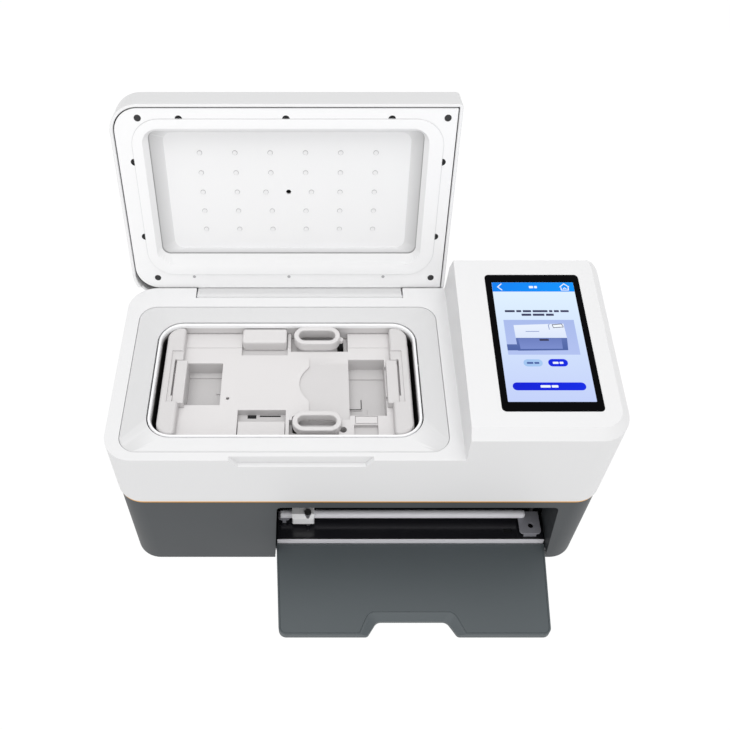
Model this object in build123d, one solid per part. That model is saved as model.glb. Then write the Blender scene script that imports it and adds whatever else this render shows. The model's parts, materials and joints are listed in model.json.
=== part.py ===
from build123d import *
import os

# Bench-top machine that cuts phone screen film from sheet and presses it on in a vacuum chamber.
# Machine axes while modelling: X to the right from the body's left side, Y to the rear from its
# front face, Z up with the table at TABLE_Z. Everything is moved to the row frame when written.

# ---- driving dimensions, millimetres ----
BODY_W = 420.0
BODY_D = 190.6
CORNER_R = 25.0
WALL = 3.0
TABLE_Z = -4.0
FOOT_H = 1.0
BASE_BOTTOM = TABLE_Z + FOOT_H
SEAM_Z = 102.5
TRIM_H = 2.5
DECK_Z = 169.3

CONSOLE_X = 293.2
CONSOLE_FRONT_Z = 204.4
CONSOLE_SLOPE = 0.1043
CONSOLE_REAR_Y = 173.0
CONSOLE_CHAMFER = 7.5
CONSOLE_FOOT_R = 0.8

SURROUND = (12.0, 282.0, 8.0, 167.0)
SURROUND_R = 16.0
SURROUND_FLANGE = (9.0, 285.0, 7.3, 170.0)
RIM = (31.5, 262.5, 24.0, 149.5)
RIM_R = 22.0
TUB_IN = (35.0, 259.0, 27.3, 147.0)
TUB_IN_R = 19.0
RIM_TOP = 167.4
TUB_TOP = 163.0
TUB_FLOOR = 131.0
PLATFORM_BOTTOM = 134.0
PLATFORM_TOP = 155.0

HINGE_Y = 184.6
HINGE_Z = 163.5
KNUCKLE_R = 5.8
LID_OPEN = 102.0
LID_X = (2.3, 292.8)
LID_FRONT = -0.2
LID_REAR = 190.0
LID_RIGHT_CORNER_R = 3.5
LID_TOP_ROUNDING = 3.0
LID_SEAT = 169.6
LID_TOP = 197.5

DOOR_AXIS_Y = 6.7
DOOR_AXIS_Z = 4.45
DOOR_FACE_Y = 1.5
DOOR_T = 7.0
DOOR_LOW_Z = 0.3
DOOR_TOP_Z = 89.2
SLOT_LOW = (134.0, 391.0)
SLOT_TOP = (138.6, 384.0)
SLOT_TOP_Z = 91.8

ROD_Y = 34.0
ROD_Z = 22.0
ROD_R = 4.0
RUNNING_GAP = 0.05
FEED_Y = 60.0
FEED_Z = 17.2
FEED_R = 5.0
FEED_SHAFT_R = 2.5
PINCH_R = 4.0
PINCH_SHAFT_R = 2.0

parts = {}


def prism(span, z0, z1, radius=0.0):
    """Upright block over (x0, x1, y0, y1) with round vertical corners."""
    x0, x1, y0, y1 = span
    outline = Rectangle(x1 - x0, y1 - y0)
    if radius > 0:
        outline = RectangleRounded(x1 - x0, y1 - y0, radius)
    return Pos((x0 + x1) / 2, (y0 + y1) / 2, z0) * extrude(outline, amount=z1 - z0)


def grow(span, gap):
    """The same span with every side moved out by gap."""
    x0, x1, y0, y1 = span
    return (x0 - gap, x1 + gap, y0 - gap, y1 + gap)


def rod_x(x0, x1, y, z, radius):
    """Round bar along X."""
    return Pos(x0, y, z) * Rot(0, 90, 0) * extrude(Circle(radius), amount=x1 - x0)


def rod_y(x, y0, y1, z, radius):
    """Round bar along Y."""
    return Pos(x, y0, z) * Rot(-90, 0, 0) * extrude(Circle(radius), amount=y1 - y0)


def rod_z(x, y, z0, z1, radius):
    """Round upright bar."""
    return Pos(x, y, z0) * extrude(Circle(radius), amount=z1 - z0)


def profile_x(points, x0, x1):
    """Block along X from a closed outline of (y, z) points."""
    outline = make_face(Polyline([(0, y, z) for y, z in points], close=True))
    return Pos(x0, 0, 0) * extrude(outline, amount=x1 - x0, dir=(1, 0, 0))


def profile_y(points, y0, y1):
    """Block along Y from a closed outline of (x, z) points."""
    outline = make_face(Polyline([(x, 0, z) for x, z in points], close=True))
    return Pos(0, y0, 0) * extrude(outline, amount=y1 - y0, dir=(0, 1, 0))


def frustum(low, low_r, z0, high, high_r, z1):
    """Block whose rounded outline changes from span low at z0 to span high at z1."""
    outlines = []
    for (x0, x1, y0, y1), radius, z in ((low, low_r, z0), (high, high_r, z1)):
        outline = RectangleRounded(x1 - x0, y1 - y0, radius)
        outlines.append(Pos((x0 + x1) / 2, (y0 + y1) / 2, z) * outline)
    return loft(outlines)


def group(solids):
    """Separate solids kept together in one node."""
    return Compound(list(solids))


# ---- base: shell, chassis, feet ----
def slot_edge(side, z):
    """X of the slot's left (0) or right (1) edge at height z."""
    return SLOT_LOW[side] + (SLOT_TOP[side] - SLOT_LOW[side]) * z / SLOT_TOP_Z


SLOT_OUTLINE = [
    (slot_edge(0, BASE_BOTTOM), BASE_BOTTOM),
    (slot_edge(1, BASE_BOTTOM), BASE_BOTTOM),
    (SLOT_TOP[1], SLOT_TOP_Z),
    (SLOT_TOP[0], SLOT_TOP_Z),
]
BASE = (1.2, BODY_W - 1.2, 1.2, BODY_D - 1.2)
BASE_R = CORNER_R - 1.2
BASE_FLOOR = BASE_BOTTOM + WALL
BASE_BEVEL = 0.8
SLOT_CORNER_R = 5.0
INLET_X = 60.0
SWITCH_X = 105.0
REAR_Z = 40.0
INLET_SIZE = (28.0, 20.0)
SWITCH_SIZE = (13.0, 19.0)
VENT_X = [250.0 + 9.0 * i for i in range(14)]
VENT_Z = (25.0, 60.0)
BED_FRONT = 11.6


def make_base_shell():
    shell = prism(BASE, BASE_BOTTOM, SEAM_Z, BASE_R)
    low_edges = shell.faces().sort_by(Axis.Z)[0].edges()
    shell = chamfer(low_edges, BASE_BEVEL)
    shell -= prism(grow(BASE, -WALL), BASE_FLOOR, SEAM_Z, BASE_R - WALL)
    slot = profile_y(SLOT_OUTLINE, 0, WALL + 2)
    slot_corners = slot.edges().filter_by(Axis.Y).sort_by(Axis.Z)[-2:]
    shell -= fillet(slot_corners, SLOT_CORNER_R)
    shell -= prism((SLOT_LOW[0], SLOT_LOW[1], 0, BED_FRONT), BASE_BOTTOM, BASE_FLOOR)
    for x, size in ((INLET_X, INLET_SIZE), (SWITCH_X, SWITCH_SIZE)):
        half_w = size[0] / 2
        half_h = size[1] / 2
        cut = prism((x - half_w, x + half_w, BODY_D - 8, BODY_D), REAR_Z - half_h, REAR_Z + half_h)
        shell -= cut
    for x in VENT_X:
        shell -= prism((x - 1.5, x + 1.5, BODY_D - 8, BODY_D), *VENT_Z)
    return shell


FOOT_X = (40.0, BODY_W - 40.0)
FOOT_Y = (30.0, BODY_D - 30.0)
FOOT_R = 9.0

parts["base_shell"] = make_base_shell()
parts["feet"] = group(
    rod_z(x, y, TABLE_Z, BASE_BOTTOM, FOOT_R) for x in FOOT_X for y in FOOT_Y
)

CHASSIS = (10.0, BODY_W - 10.0, 98.0, BODY_D - 10.6)
CHASSIS_SIDE = (10.0, 126.0, 18.0, 114.0)
CHASSIS_Z = BASE_FLOOR + 1.5
parts["chassis_plate"] = prism(CHASSIS, BASE_FLOOR, CHASSIS_Z, 15) + prism(
    CHASSIS_SIDE, BASE_FLOOR, CHASSIS_Z
)

trim_outer = prism(grow((0, BODY_W, 0, BODY_D), -0.5), SEAM_Z, SEAM_Z + TRIM_H, CORNER_R - 0.5)
trim_inner = prism(grow((0, BODY_W, 0, BODY_D), -4.2), SEAM_Z, SEAM_Z + TRIM_H, CORNER_R - 4.2)
parts["gold_trim_band"] = trim_outer - trim_inner


# ---- upper shell: deck and screen console in one moulding ----
UPPER_Z = SEAM_Z + TRIM_H
NOTCH = (61.0, 253.6, 178.2, BODY_D + 2)
NOTCH_FLOOR = 155.4
SCOOP_TOP = (102.5, 219.5)
SCOOP_LOW = (110.0, 213.0)
SCOOP_Z = 160.0
SCOOP_DEPTH = 4.0


def console_top(y):
    """Height of the sloping console top at depth y."""
    return CONSOLE_FRONT_Z + CONSOLE_SLOPE * y


def console_block(x0, x1, inset, radius, bevel):
    """Console body between two X planes, its outside moved in by inset."""
    rear_z = console_top(CONSOLE_REAR_Y)
    points = [
        (inset, UPPER_Z),
        (inset, console_top(0) - inset),
        (CONSOLE_REAR_Y - inset, rear_z - inset),
        (184.0 - inset, 203.0 - inset),
        (BODY_D - inset, DECK_Z - inset),
        (BODY_D - inset, UPPER_Z),
    ]
    block = profile_x(points, x0, x1)
    block &= prism((x0 - 80, x1, inset, BODY_D - inset), UPPER_Z, 240, radius)
    slope_faces = [f for f in block.faces() if f.normal_at().Z > 0.9]
    top = max(slope_faces, key=lambda f: f.area)
    outer = [e for e in top.edges() if e.center().X > x0 + 1 and e.center().Y < CONSOLE_REAR_Y - 8]
    return chamfer(outer, bevel)


def make_upper_shell():
    shell = prism((0, BODY_W, 0, BODY_D), UPPER_Z, DECK_Z, CORNER_R)
    shell += console_block(CONSOLE_X, BODY_W, 0, CORNER_R, CONSOLE_CHAMFER)
    foot = [
        e
        for e in shell.edges().filter_by(Axis.Y)
        if abs(e.center().X - CONSOLE_X) < 0.1 and abs(e.center().Z - DECK_Z) < 0.1
    ]
    shell = fillet(foot, CONSOLE_FOOT_R)
    inner = prism(grow((0, BODY_W, 0, BODY_D), -WALL), UPPER_Z, DECK_Z - WALL, CORNER_R - WALL)
    inner -= prism((NOTCH[0] - 6, NOTCH[1] + 6, NOTCH[2] - WALL, BODY_D), NOTCH_FLOOR - WALL, DECK_Z)
    scoop_wall = (SCOOP_TOP[0] - 3, SCOOP_TOP[1] + 3, 0, SCOOP_DEPTH + WALL)
    inner -= prism(scoop_wall, SCOOP_Z - WALL, DECK_Z)
    inner += console_block(CONSOLE_X + WALL, BODY_W - WALL, WALL, CORNER_R - WALL, CONSOLE_CHAMFER - 1)
    shell -= inner
    shell -= prism(SURROUND, DECK_Z - WALL - 1, DECK_Z, SURROUND_R)
    shell -= prism(NOTCH, NOTCH_FLOOR, DECK_Z)
    scoop = [
        (SCOOP_LOW[0], SCOOP_Z),
        (SCOOP_LOW[1], SCOOP_Z),
        (SCOOP_TOP[1], DECK_Z),
        (SCOOP_TOP[0], DECK_Z),
    ]
    shell -= profile_y(scoop, 0, SCOOP_DEPTH)
    return shell


HINGE_PIN_R = 2.5
PIN_X = ((NOTCH[0] - 5, NOTCH[0] + 14), (NOTCH[1] - 14, NOTCH[1] + 5))
upper_shell = make_upper_shell()
for pin_x0, pin_x1 in PIN_X:
    upper_shell -= rod_x(pin_x0, pin_x1, HINGE_Y, HINGE_Z, HINGE_PIN_R)
parts["hinge_pins"] = group(rod_x(a, b, HINGE_Y, HINGE_Z, HINGE_PIN_R) for a, b in PIN_X)

# ---- touch screen, square to the console's slope ----
SLOPE_ANGLE = 5.954
SCREEN_CX = 358.75
SCREEN_CY = 89.15
GLASS_W = 80.5
GLASS_L = 136.0
GLASS_T = 1.6
GLASS_PROUD = 0.3
screen_place = Pos(SCREEN_CX, SCREEN_CY, console_top(SCREEN_CY)) * Rot(SLOPE_ANGLE, 0, 0)


def screen_plate(width, length, low, high, radius):
    """Plate parallel to the console top, heights measured from its surface."""
    outline = RectangleRounded(width, length, radius)
    return screen_place * Pos(0, 0, low) * extrude(outline, amount=high - low)


GLASS_BOTTOM = GLASS_PROUD - GLASS_T
parts["touch_screen_glass"] = screen_plate(GLASS_W, GLASS_L, GLASS_BOTTOM, GLASS_PROUD, 3.5)
parts["display_module"] = screen_plate(74, 128, -5.3, GLASS_BOTTOM, 1.5)
parts["display_frame"] = screen_plate(88, 144, -7.3, -5.3, 4)
upper_shell -= screen_plate(GLASS_W + 0.4, GLASS_L + 0.4, GLASS_BOTTOM, 3, 3.7)
upper_shell -= screen_plate(75, 129, -8, GLASS_BOTTOM, 2)
parts["upper_shell"] = upper_shell

# ---- vacuum chamber ----
SURROUND_DISH = (14.0, 280.0, 10.0, 165.0)


def make_surround():
    plate = prism(grow(SURROUND, -0.3), DECK_Z - WALL, DECK_Z - 0.3, SURROUND_R - 0.3)
    plate += prism(SURROUND_FLANGE, DECK_Z - 2 * WALL, DECK_Z - WALL, SURROUND_R + 2)
    plate -= frustum(RIM, RIM_R, DECK_Z - 2.2, SURROUND_DISH, SURROUND_R - 2, DECK_Z - 0.29)
    return plate - prism(grow(RIM, 0.2), TUB_TOP - 1, DECK_Z, RIM_R + 0.2)


parts["chamber_surround"] = make_surround()
rim = prism(RIM, TUB_TOP, RIM_TOP, RIM_R)
rim = fillet(rim.faces().sort_by(Axis.Z)[-1].edges(), 1.4)
parts["chamber_rim"] = rim - prism(TUB_IN, TUB_TOP, RIM_TOP, TUB_IN_R)

VACUUM_PORT = (240.0, 120.0)
tub = prism(grow(TUB_IN, 2), TUB_FLOOR - 3, TUB_TOP, TUB_IN_R + 2)
tub -= prism(TUB_IN, TUB_FLOOR, TUB_TOP, TUB_IN_R)
parts["chamber_tub"] = tub - rod_z(*VACUUM_PORT, TUB_FLOOR - 3, TUB_FLOOR, 3.0)

PLATFORM = (38.2, 255.8, 28.2, 146.2)
CLAMP_TRAVEL = 8.0
LEFT_POCKET = (59.2, 90.0, 65.4, 111.5)
RIGHT_POCKET = (201.6, 233.4, 54.2, 115.6)
POCKET_FLOOR = 139.5
TAB_X = (106.5, 146.5)
BACK_TAB_POCKET = (105.9, 147.1, 120.8, 146.2)
FRONT_TAB_POCKET = (105.9, 147.1, 28.2, 60.3)
RING_POCKET_BACK = (150.0, 201.5, 125.0, 146.2)
RING_POCKET_FRONT = (150.0, 192.0, 28.2, 50.0)
TAB_POCKET_FLOOR = 147.5
BACK_TAB_FLOOR = 151.5
LOW_AREA = (166.8, 201.8, 50.0, 120.6)
LOW_AREA_DEPTH = 2.0
LOW_AREA_RAMP = 10.0
LOW_AREA_BULGE = (182.0, 88.5, 23.8)
SEAM_Y = 129.2
SEAM_GROOVE = 0.5
CLIP_RECESS = (205.0, 225.4, 28.2, 45.0)
CLIP_BAR = (206.6, 224.7, 46.6, 53.4)
FINGER_HOLE = (195.8, 39.9)
PIN_HOLE = (96.5, 72.7)
JAW_GROOVES_Y = (72.0, 105.0)
TONGUE_HALF_W = 2.0
TONGUE_H = 2.5
JAW_TRAVEL = 15.0
SHANKS_X = (119.5, 195.0, 155.3)
RING_SHANK_R = 2.5
TAB_SHANK_HALF_W = 4.0
SLIDE_LAP = 2.0


def slotted_hole(x, y0, y1, radius, z0, z1):
    """Upright slot along Y with round ends centred at y0 and y1."""
    hole = rod_z(x, y0, z0, z1, radius) + rod_z(x, y1, z0, z1, radius)
    return hole + prism((x - radius, x + radius, y0, y1), z0, z1)


def make_low_area():
    """Cutter for the shallow area on the right: wavy left side, ramp at the back."""
    x0, x1, y0, y1 = LOW_AREA
    bulge_x, bulge_y, bulge_r = LOW_AREA_BULGE
    outline = Pos((x0 + x1) / 2, (y0 + y1) / 2) * Rectangle(x1 - x0, y1 - y0)
    outline += Pos(bulge_x, bulge_y) * Circle(bulge_r) - Pos(bulge_x + 60, bulge_y) * Rectangle(120, 120)
    joints = [v for v in outline.vertices() if v.X < x0 + 1 and abs(v.Y - bulge_y) < bulge_r]
    outline = fillet(joints, 6.0)
    area = Pos(0, 0, PLATFORM_TOP - LOW_AREA_DEPTH) * extrude(outline, amount=LOW_AREA_DEPTH)
    ramp = [
        (y1, PLATFORM_TOP),
        (y1, PLATFORM_TOP - LOW_AREA_DEPTH),
        (y1 - LOW_AREA_RAMP, PLATFORM_TOP - LOW_AREA_DEPTH),
    ]
    return area - profile_x(ramp, x0 - 1, x1 + 1)


def make_platform():
    body = prism(PLATFORM, PLATFORM_BOTTOM, PLATFORM_TOP, 17)
    for pocket in (LEFT_POCKET, RIGHT_POCKET):
        body -= prism(pocket, POCKET_FLOOR, PLATFORM_TOP, 0)
    for pocket in (FRONT_TAB_POCKET, RING_POCKET_BACK, RING_POCKET_FRONT):
        body -= prism(pocket, TAB_POCKET_FLOOR, PLATFORM_TOP, 0)
    body -= prism(BACK_TAB_POCKET, BACK_TAB_FLOOR, PLATFORM_TOP, 0)
    body -= make_low_area()
    body -= prism(CLIP_RECESS, PLATFORM_TOP - 4, PLATFORM_TOP, 0)
    body -= prism(grow(CLIP_BAR, 0.6), PLATFORM_TOP - 1.5, PLATFORM_TOP, 0)
    body += prism(CLIP_BAR, PLATFORM_TOP - 2, PLATFORM_TOP, 0)
    body -= rod_z(*FINGER_HOLE, POCKET_FLOOR, PLATFORM_TOP, 3.0)
    body -= rod_z(*PIN_HOLE, POCKET_FLOOR, PLATFORM_TOP, 1.5)
    for x0, x1 in ((56.0, RING_POCKET_BACK[0]), (RING_POCKET_BACK[1], 238.0)):
        seam = (x0, x1, SEAM_Y, SEAM_Y + SEAM_GROOVE)
        body -= prism(seam, PLATFORM_TOP - SEAM_GROOVE, PLATFORM_TOP)
    for y in JAW_GROOVES_Y:
        for x0, x1 in ((40.0, LEFT_POCKET[0] + 1), (RIGHT_POCKET[1] - 1, 254.0)):
            groove = (x0, x1, y - TONGUE_HALF_W - 0.3, y + TONGUE_HALF_W + 0.3)
            body -= prism(groove, PLATFORM_TOP - TONGUE_H - 0.5, PLATFORM_TOP)
    for step in POCKET_STEPS:
        body += prism(step, POCKET_FLOOR, POCKET_FLOOR + POCKET_STEP_H)
    shank = (SHANKS_X[0] - TAB_SHANK_HALF_W - 0.6, SHANKS_X[0] + TAB_SHANK_HALF_W + 0.6)
    body -= prism((*shank, 132.0, PLATFORM[3]), PLATFORM_BOTTOM, BACK_TAB_FLOOR)
    body -= prism((*shank, 40.0, 53.4), PLATFORM_BOTTOM, TAB_POCKET_FLOOR)
    slot_r = RING_SHANK_R + 0.4
    back_slot = (BACK_RING_Y - CLAMP_TRAVEL, BACK_RING_Y)
    front_slot = (FRONT_RING_Y, FRONT_RING_Y + CLAMP_TRAVEL)
    body -= slotted_hole(SHANKS_X[1], *back_slot, slot_r, PLATFORM_BOTTOM, PLATFORM_TOP)
    body -= slotted_hole(SHANKS_X[2], *front_slot, slot_r, PLATFORM_BOTTOM, PLATFORM_TOP)
    slide_room_z = PLATFORM_BOTTOM + SLIDE_LAP + 1
    for y0, y1 in ((118.0, PLATFORM[3]), (PLATFORM[2], 56.0)):
        body -= prism((108.0, 200.0, y0, y1), PLATFORM_BOTTOM, slide_room_z)
    return body


POCKET_STEP_H = 1.2
POCKET_STEPS = [
    (LEFT_POCKET[0], LEFT_POCKET[1], 106.0, LEFT_POCKET[3]),
    (84.3, LEFT_POCKET[1], 88.0, 103.4),
    (RIGHT_POCKET[0], RIGHT_POCKET[1], 104.4, RIGHT_POCKET[3]),
    (RIGHT_POCKET[0], 213.0, 70.0, 82.0),
    (RIGHT_POCKET[0], RIGHT_POCKET[1], RIGHT_POCKET[2], 65.0),
    (218.0, RIGHT_POCKET[1], 65.0, 71.0),
]
BACK_RING_Y = 136.3
FRONT_RING_Y = 43.85


parts["phone_platform"] = make_platform()
POST_SPOTS = [(52, 60), (52, 115), (242, 60), (242, 100)]
parts["platform_posts"] = group(rod_z(x, y, TUB_FLOOR, PLATFORM_BOTTOM, 5) for x, y in POST_SPOTS)

# ---- end jaws ----
JAW_TOP = 165.0
JAW_BASE = PLATFORM_TOP + 0.3
JAW_X = (39.6, 55.4)
JAW_Y = (29.0, 145.6)
JAW_SEAT_X = 45.5
JAW_SEAT_Y = (62.0, 118.5)
PAD_X = (49.9, 59.6)
PAD_Y = (62.5, 109.0)


def make_jaw():
    """Left end jaw at rest: tall outer bar, with two tongues that run in the platform."""
    x0, x1 = JAW_X
    outline = Rectangle(x1 - x0, JAW_Y[1] - JAW_Y[0])
    outline = fillet(outline.vertices().group_by(Axis.X)[0], 12.0)
    outline = fillet(outline.vertices().group_by(Axis.X)[-1], 3.2)
    bar = Pos((x0 + x1) / 2, sum(JAW_Y) / 2, JAW_BASE) * extrude(outline, amount=JAW_TOP - JAW_BASE)
    bar = fillet(bar.faces().sort_by(Axis.Z)[-1].edges(), 2.6)
    bar -= prism((JAW_SEAT_X, x1, JAW_SEAT_Y[0], JAW_SEAT_Y[1]), JAW_TOP - 1.6, JAW_TOP)
    bar -= prism((PAD_X[0], x1, PAD_Y[0], PAD_Y[1]), JAW_BASE, JAW_TOP)
    bar -= prism((PAD_X[0] - 1.5, PAD_X[0], PAD_Y[0] + 7, PAD_Y[1] + 0.5), JAW_TOP - 8, JAW_TOP)
    for y in JAW_GROOVES_Y:
        tongue = (x0 + 2, PAD_X[0] - 1.5, y - TONGUE_HALF_W, y + TONGUE_HALF_W)
        bar += prism(tongue, PLATFORM_TOP - TONGUE_H, JAW_BASE)
    return bar


def make_jaw_pad():
    """Soft grip block on the left jaw's inner side."""
    pad = prism((*PAD_X, *PAD_Y), JAW_BASE, JAW_TOP - 2.5)
    return fillet(pad.edges().filter_by(Axis.Y).sort_by(Axis.Z)[-2:], 0.8)


CHAMBER_CX = 147.0
jaw_mirror = Plane(origin=(CHAMBER_CX, 0, 0), z_dir=(1, 0, 0))
parts["left_jaw"] = make_jaw()
parts["left_jaw_pad"] = make_jaw_pad()
parts["right_jaw"] = mirror(parts["left_jaw"], about=jaw_mirror)
parts["right_jaw_pad"] = mirror(parts["left_jaw_pad"], about=jaw_mirror)

# ---- width clamps: a slide under the platform, a stop tab and a finger ring on each ----
SLIDE_Z = (TUB_FLOOR + 0.6, PLATFORM_BOTTOM + SLIDE_LAP)
RING_X = (153.0, 194.5)
RING_WALL = 4.5


def make_slide(y0, y1, tab_y, tab_z, ring_shank):
    """Flat bar with a shank for the stop tab and a round one for the finger ring."""
    slide = prism((109.5, 198.5, y0, y1), *SLIDE_Z)
    shank_x = (SHANKS_X[0] - TAB_SHANK_HALF_W, SHANKS_X[0] + TAB_SHANK_HALF_W)
    slide += prism((*shank_x, *tab_y), SLIDE_Z[1], tab_z)
    return slide + rod_z(*ring_shank, SLIDE_Z[1], RING_LOW, RING_SHANK_R)


def make_ring(y0, y1, low, high):
    """Oval finger ring with a soft top edge."""
    radius = (y1 - y0) / 2 - 0.01
    ring = prism((*RING_X, y0, y1), low, high, radius)
    ring -= prism(grow((*RING_X, y0, y1), -RING_WALL), low, high, radius - RING_WALL)
    return fillet(ring.faces().sort_by(Axis.Z)[-1].edges(), 1.2)


RING_LOW = 155.6
BACK_TAB_LOW = 152.0
FRONT_TAB_LOW = 149.0
parts["back_clamp_slide"] = make_slide(
    127.5, 145.4, (141.0, 145.4), BACK_TAB_LOW, (SHANKS_X[1], BACK_RING_Y)
)
back_ring = make_ring(126.0, 146.6, RING_LOW, 165.0)
back_ring += rod_z(SHANKS_X[1], BACK_RING_Y, RING_LOW, 159.0, RING_SHANK_R)
parts["back_finger_ring"] = back_ring
back_tab = prism((*TAB_X, 129.2, 145.8), BACK_TAB_LOW, 163.0, 0)
back_tab = fillet(back_tab.edges().filter_by(Axis.Z), 2.5)
parts["back_stop_tab"] = fillet(back_tab.faces().sort_by(Axis.Z)[-1].edges(), 1.8)
parts["front_clamp_slide"] = make_slide(
    30.0, 47.0, (40.4, 44.6), FRONT_TAB_LOW, (SHANKS_X[2], FRONT_RING_Y)
)
front_ring = make_ring(33.7, 54.0, RING_LOW, 163.0)
front_ring += rod_z(SHANKS_X[2], FRONT_RING_Y, RING_LOW, 158.0, RING_SHANK_R)
parts["front_finger_ring"] = front_ring
parts["front_stop_tab"] = prism((*TAB_X, 29.2, 49.4), FRONT_TAB_LOW, 153.5)


# ---- lid, modelled shut and then opened ----
def lid_block(inset, z0, z1, rear):
    """Lid outline: large radii at its left, nearly square at its right."""
    x0 = LID_X[0] + inset
    x1 = LID_X[1] - inset
    y0 = LID_FRONT + inset
    y1 = rear - inset
    outline = Rectangle(x1 - x0, y1 - y0)
    corners = outline.vertices().group_by(Axis.X)
    outline = fillet(corners[0], CORNER_R - inset)
    right_corners = outline.vertices().group_by(Axis.X)[-1]
    outline = fillet(right_corners, max(LID_RIGHT_CORNER_R - inset, 1.0))
    return Pos((x0 + x1) / 2, (y0 + y1) / 2, z0) * extrude(outline, amount=z1 - z0)


LID_WALL = 2.8
REAR_RELIEF_Y = 178.3
REAR_RELIEF_Z = 173.4
WEB_FRONT = HINGE_Y - 5.2
WEB_REAR = HINGE_Y + 2.4
WEB_LAP = 6.0


def make_lid_shell():
    cap = lid_block(0, LID_SEAT, LID_TOP, LID_REAR)
    cap = fillet(cap.faces().sort_by(Axis.Z)[-1].edges(), LID_TOP_ROUNDING)
    cap -= lid_block(LID_WALL, LID_SEAT, LID_TOP - LID_WALL, LID_REAR)
    relief = (0, CONSOLE_X, REAR_RELIEF_Y, LID_REAR + 1)
    return cap - prism(relief, LID_SEAT - 1, REAR_RELIEF_Z)


LINER_Z = (170.4, 173.4)
LINER_GAP = 1.0
LINER_REAR_Y = 182.4
BAND = (19.4, 279.4, 12.8, 163.5)
BAND_R = 24.0
WINDOW = (28.0, 267.6, 21.0, 153.0)
WINDOW_R = 14.0
CREASE = (32.8, 263.4, 24.3, 142.8)
CREASE_R = 7.0
LID_SCREWS = [(26.7, 12.0), (281.0, 12.0), (25.5, 167.5), (279.5, 167.5)]
LID_SCREW_R = 2.8
LID_SCREW_H = 1.4


def make_lid_liner():
    liner = lid_block(LID_WALL + LINER_GAP, *LINER_Z, LINER_REAR_Y)
    liner += prism(BAND, LID_SEAT, LINER_Z[0], BAND_R)
    liner -= frustum(WINDOW, WINDOW_R, LID_SEAT, CREASE, CREASE_R, LINER_Z[1])
    for x, y in LID_SCREWS:
        liner -= rod_z(x, y, LID_SEAT, LINER_Z[0] + LID_SCREW_H, LID_SCREW_R + 0.1)
    return liner


PLATE_FLOOR_Z = 182.4
PLATE_T = 2.0
PANEL = (43.2, 253.8, 29.7, 142.0)
PANEL_R = 8.0
SHADOW_GAP = 0.9
SHADOW_DEPTH = 1.5


def make_pressure_plate():
    """Shallow dished panel behind the lid's window, a shadow gap round its mouth."""
    flange_z = LINER_Z[1]
    mouth_z = flange_z + SHADOW_DEPTH
    plate = prism(grow(CREASE, 6), flange_z, flange_z + PLATE_T, CREASE_R + 6)
    outer_floor = grow(PANEL, PLATE_T)
    plate += frustum(
        grow(CREASE, 4), CREASE_R + 4, flange_z, outer_floor, PANEL_R + PLATE_T, PLATE_FLOOR_Z + PLATE_T
    )
    plate -= prism(grow(CREASE, SHADOW_GAP), flange_z, mouth_z, CREASE_R + SHADOW_GAP)
    plate -= frustum(CREASE, CREASE_R, mouth_z, PANEL, PANEL_R, PLATE_FLOOR_Z)
    return plate - rod_z(*PORT_XY, PLATE_FLOOR_Z, PLATE_FLOOR_Z + PLATE_T, PORT_R)


BOSS_PITCH_X = 30.2
BOSS_PITCH_Y = 18.6
BOSS_R = 1.9
BOSS_H = 0.7
PORT_XY = (148.7, 85.3)
PORT_R = 2.2
PORT_FITTING_R = 5.0
PORT_FITTING_BORE = 6.0
BOSS_MIDDLE_SPREAD = 1.33
BOSS_X = [PORT_XY[0] + BOSS_PITCH_X * (i - 2.5) for i in range(6)]
BOSS_Y = [PORT_XY[1] + BOSS_PITCH_Y * (j - 2) for j in range(5)]


def make_bosses():
    """Bosses on the pressure plate: the middle row makes room for the air port."""
    bosses = []
    for row, y in enumerate(BOSS_Y):
        for x in BOSS_X:
            if row == 2 and abs(x - PORT_XY[0]) < 16:
                x = PORT_XY[0] + (x - PORT_XY[0]) * BOSS_MIDDLE_SPREAD
            bosses.append(rod_z(x, y, PLATE_FLOOR_Z - BOSS_H, PLATE_FLOOR_Z, BOSS_R))
    return group(bosses)


def make_knuckle():
    """Hinge barrel with the web that carries the lid."""
    x0 = NOTCH[0] + 1.2
    x1 = NOTCH[1] - 1.2
    barrel = rod_x(x0, x1, HINGE_Y, HINGE_Z, KNUCKLE_R)
    barrel += prism((x0, x1, HINGE_Y - KNUCKLE_R, WEB_REAR), HINGE_Z, LID_SEAT)
    barrel += prism((x0, x1, WEB_FRONT, WEB_REAR), LID_SEAT, REAR_RELIEF_Z + WEB_LAP)
    return barrel - rod_x(x0, x1, HINGE_Y, HINGE_Z, HINGE_PIN_R + RUNNING_GAP)


def make_port_fitting():
    """Hose fitting on the back of the pressure plate."""
    back_z = PLATE_FLOOR_Z + PLATE_T
    fitting = rod_z(*PORT_XY, back_z, LID_TOP - LID_WALL, PORT_FITTING_R)
    return fitting - rod_z(*PORT_XY, back_z, back_z + PORT_FITTING_BORE, PORT_R)


lid_nodes = {
    "lid_shell": make_lid_shell(),
    "lid_liner": make_lid_liner(),
    "pressure_plate": make_pressure_plate(),
    "pressure_plate_bosses": make_bosses(),
    "lid_screws": group(
        rod_z(x, y, LINER_Z[0], LINER_Z[0] + LID_SCREW_H, LID_SCREW_R) for x, y in LID_SCREWS
    ),
    "air_port_fitting": make_port_fitting(),
    "hinge_knuckle": make_knuckle(),
}
lid_axis = Axis((0, HINGE_Y, HINGE_Z), (1, 0, 0))
for name, solid in lid_nodes.items():
    parts[name] = solid.rotate(lid_axis, -LID_OPEN)


# ---- film slot door, modelled shut and then dropped flat ----
DOOR_NOTCH_CX = 259.0
DOOR_NOTCH_DEPTH = 13.6
DOOR_LIP = 6.0


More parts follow.
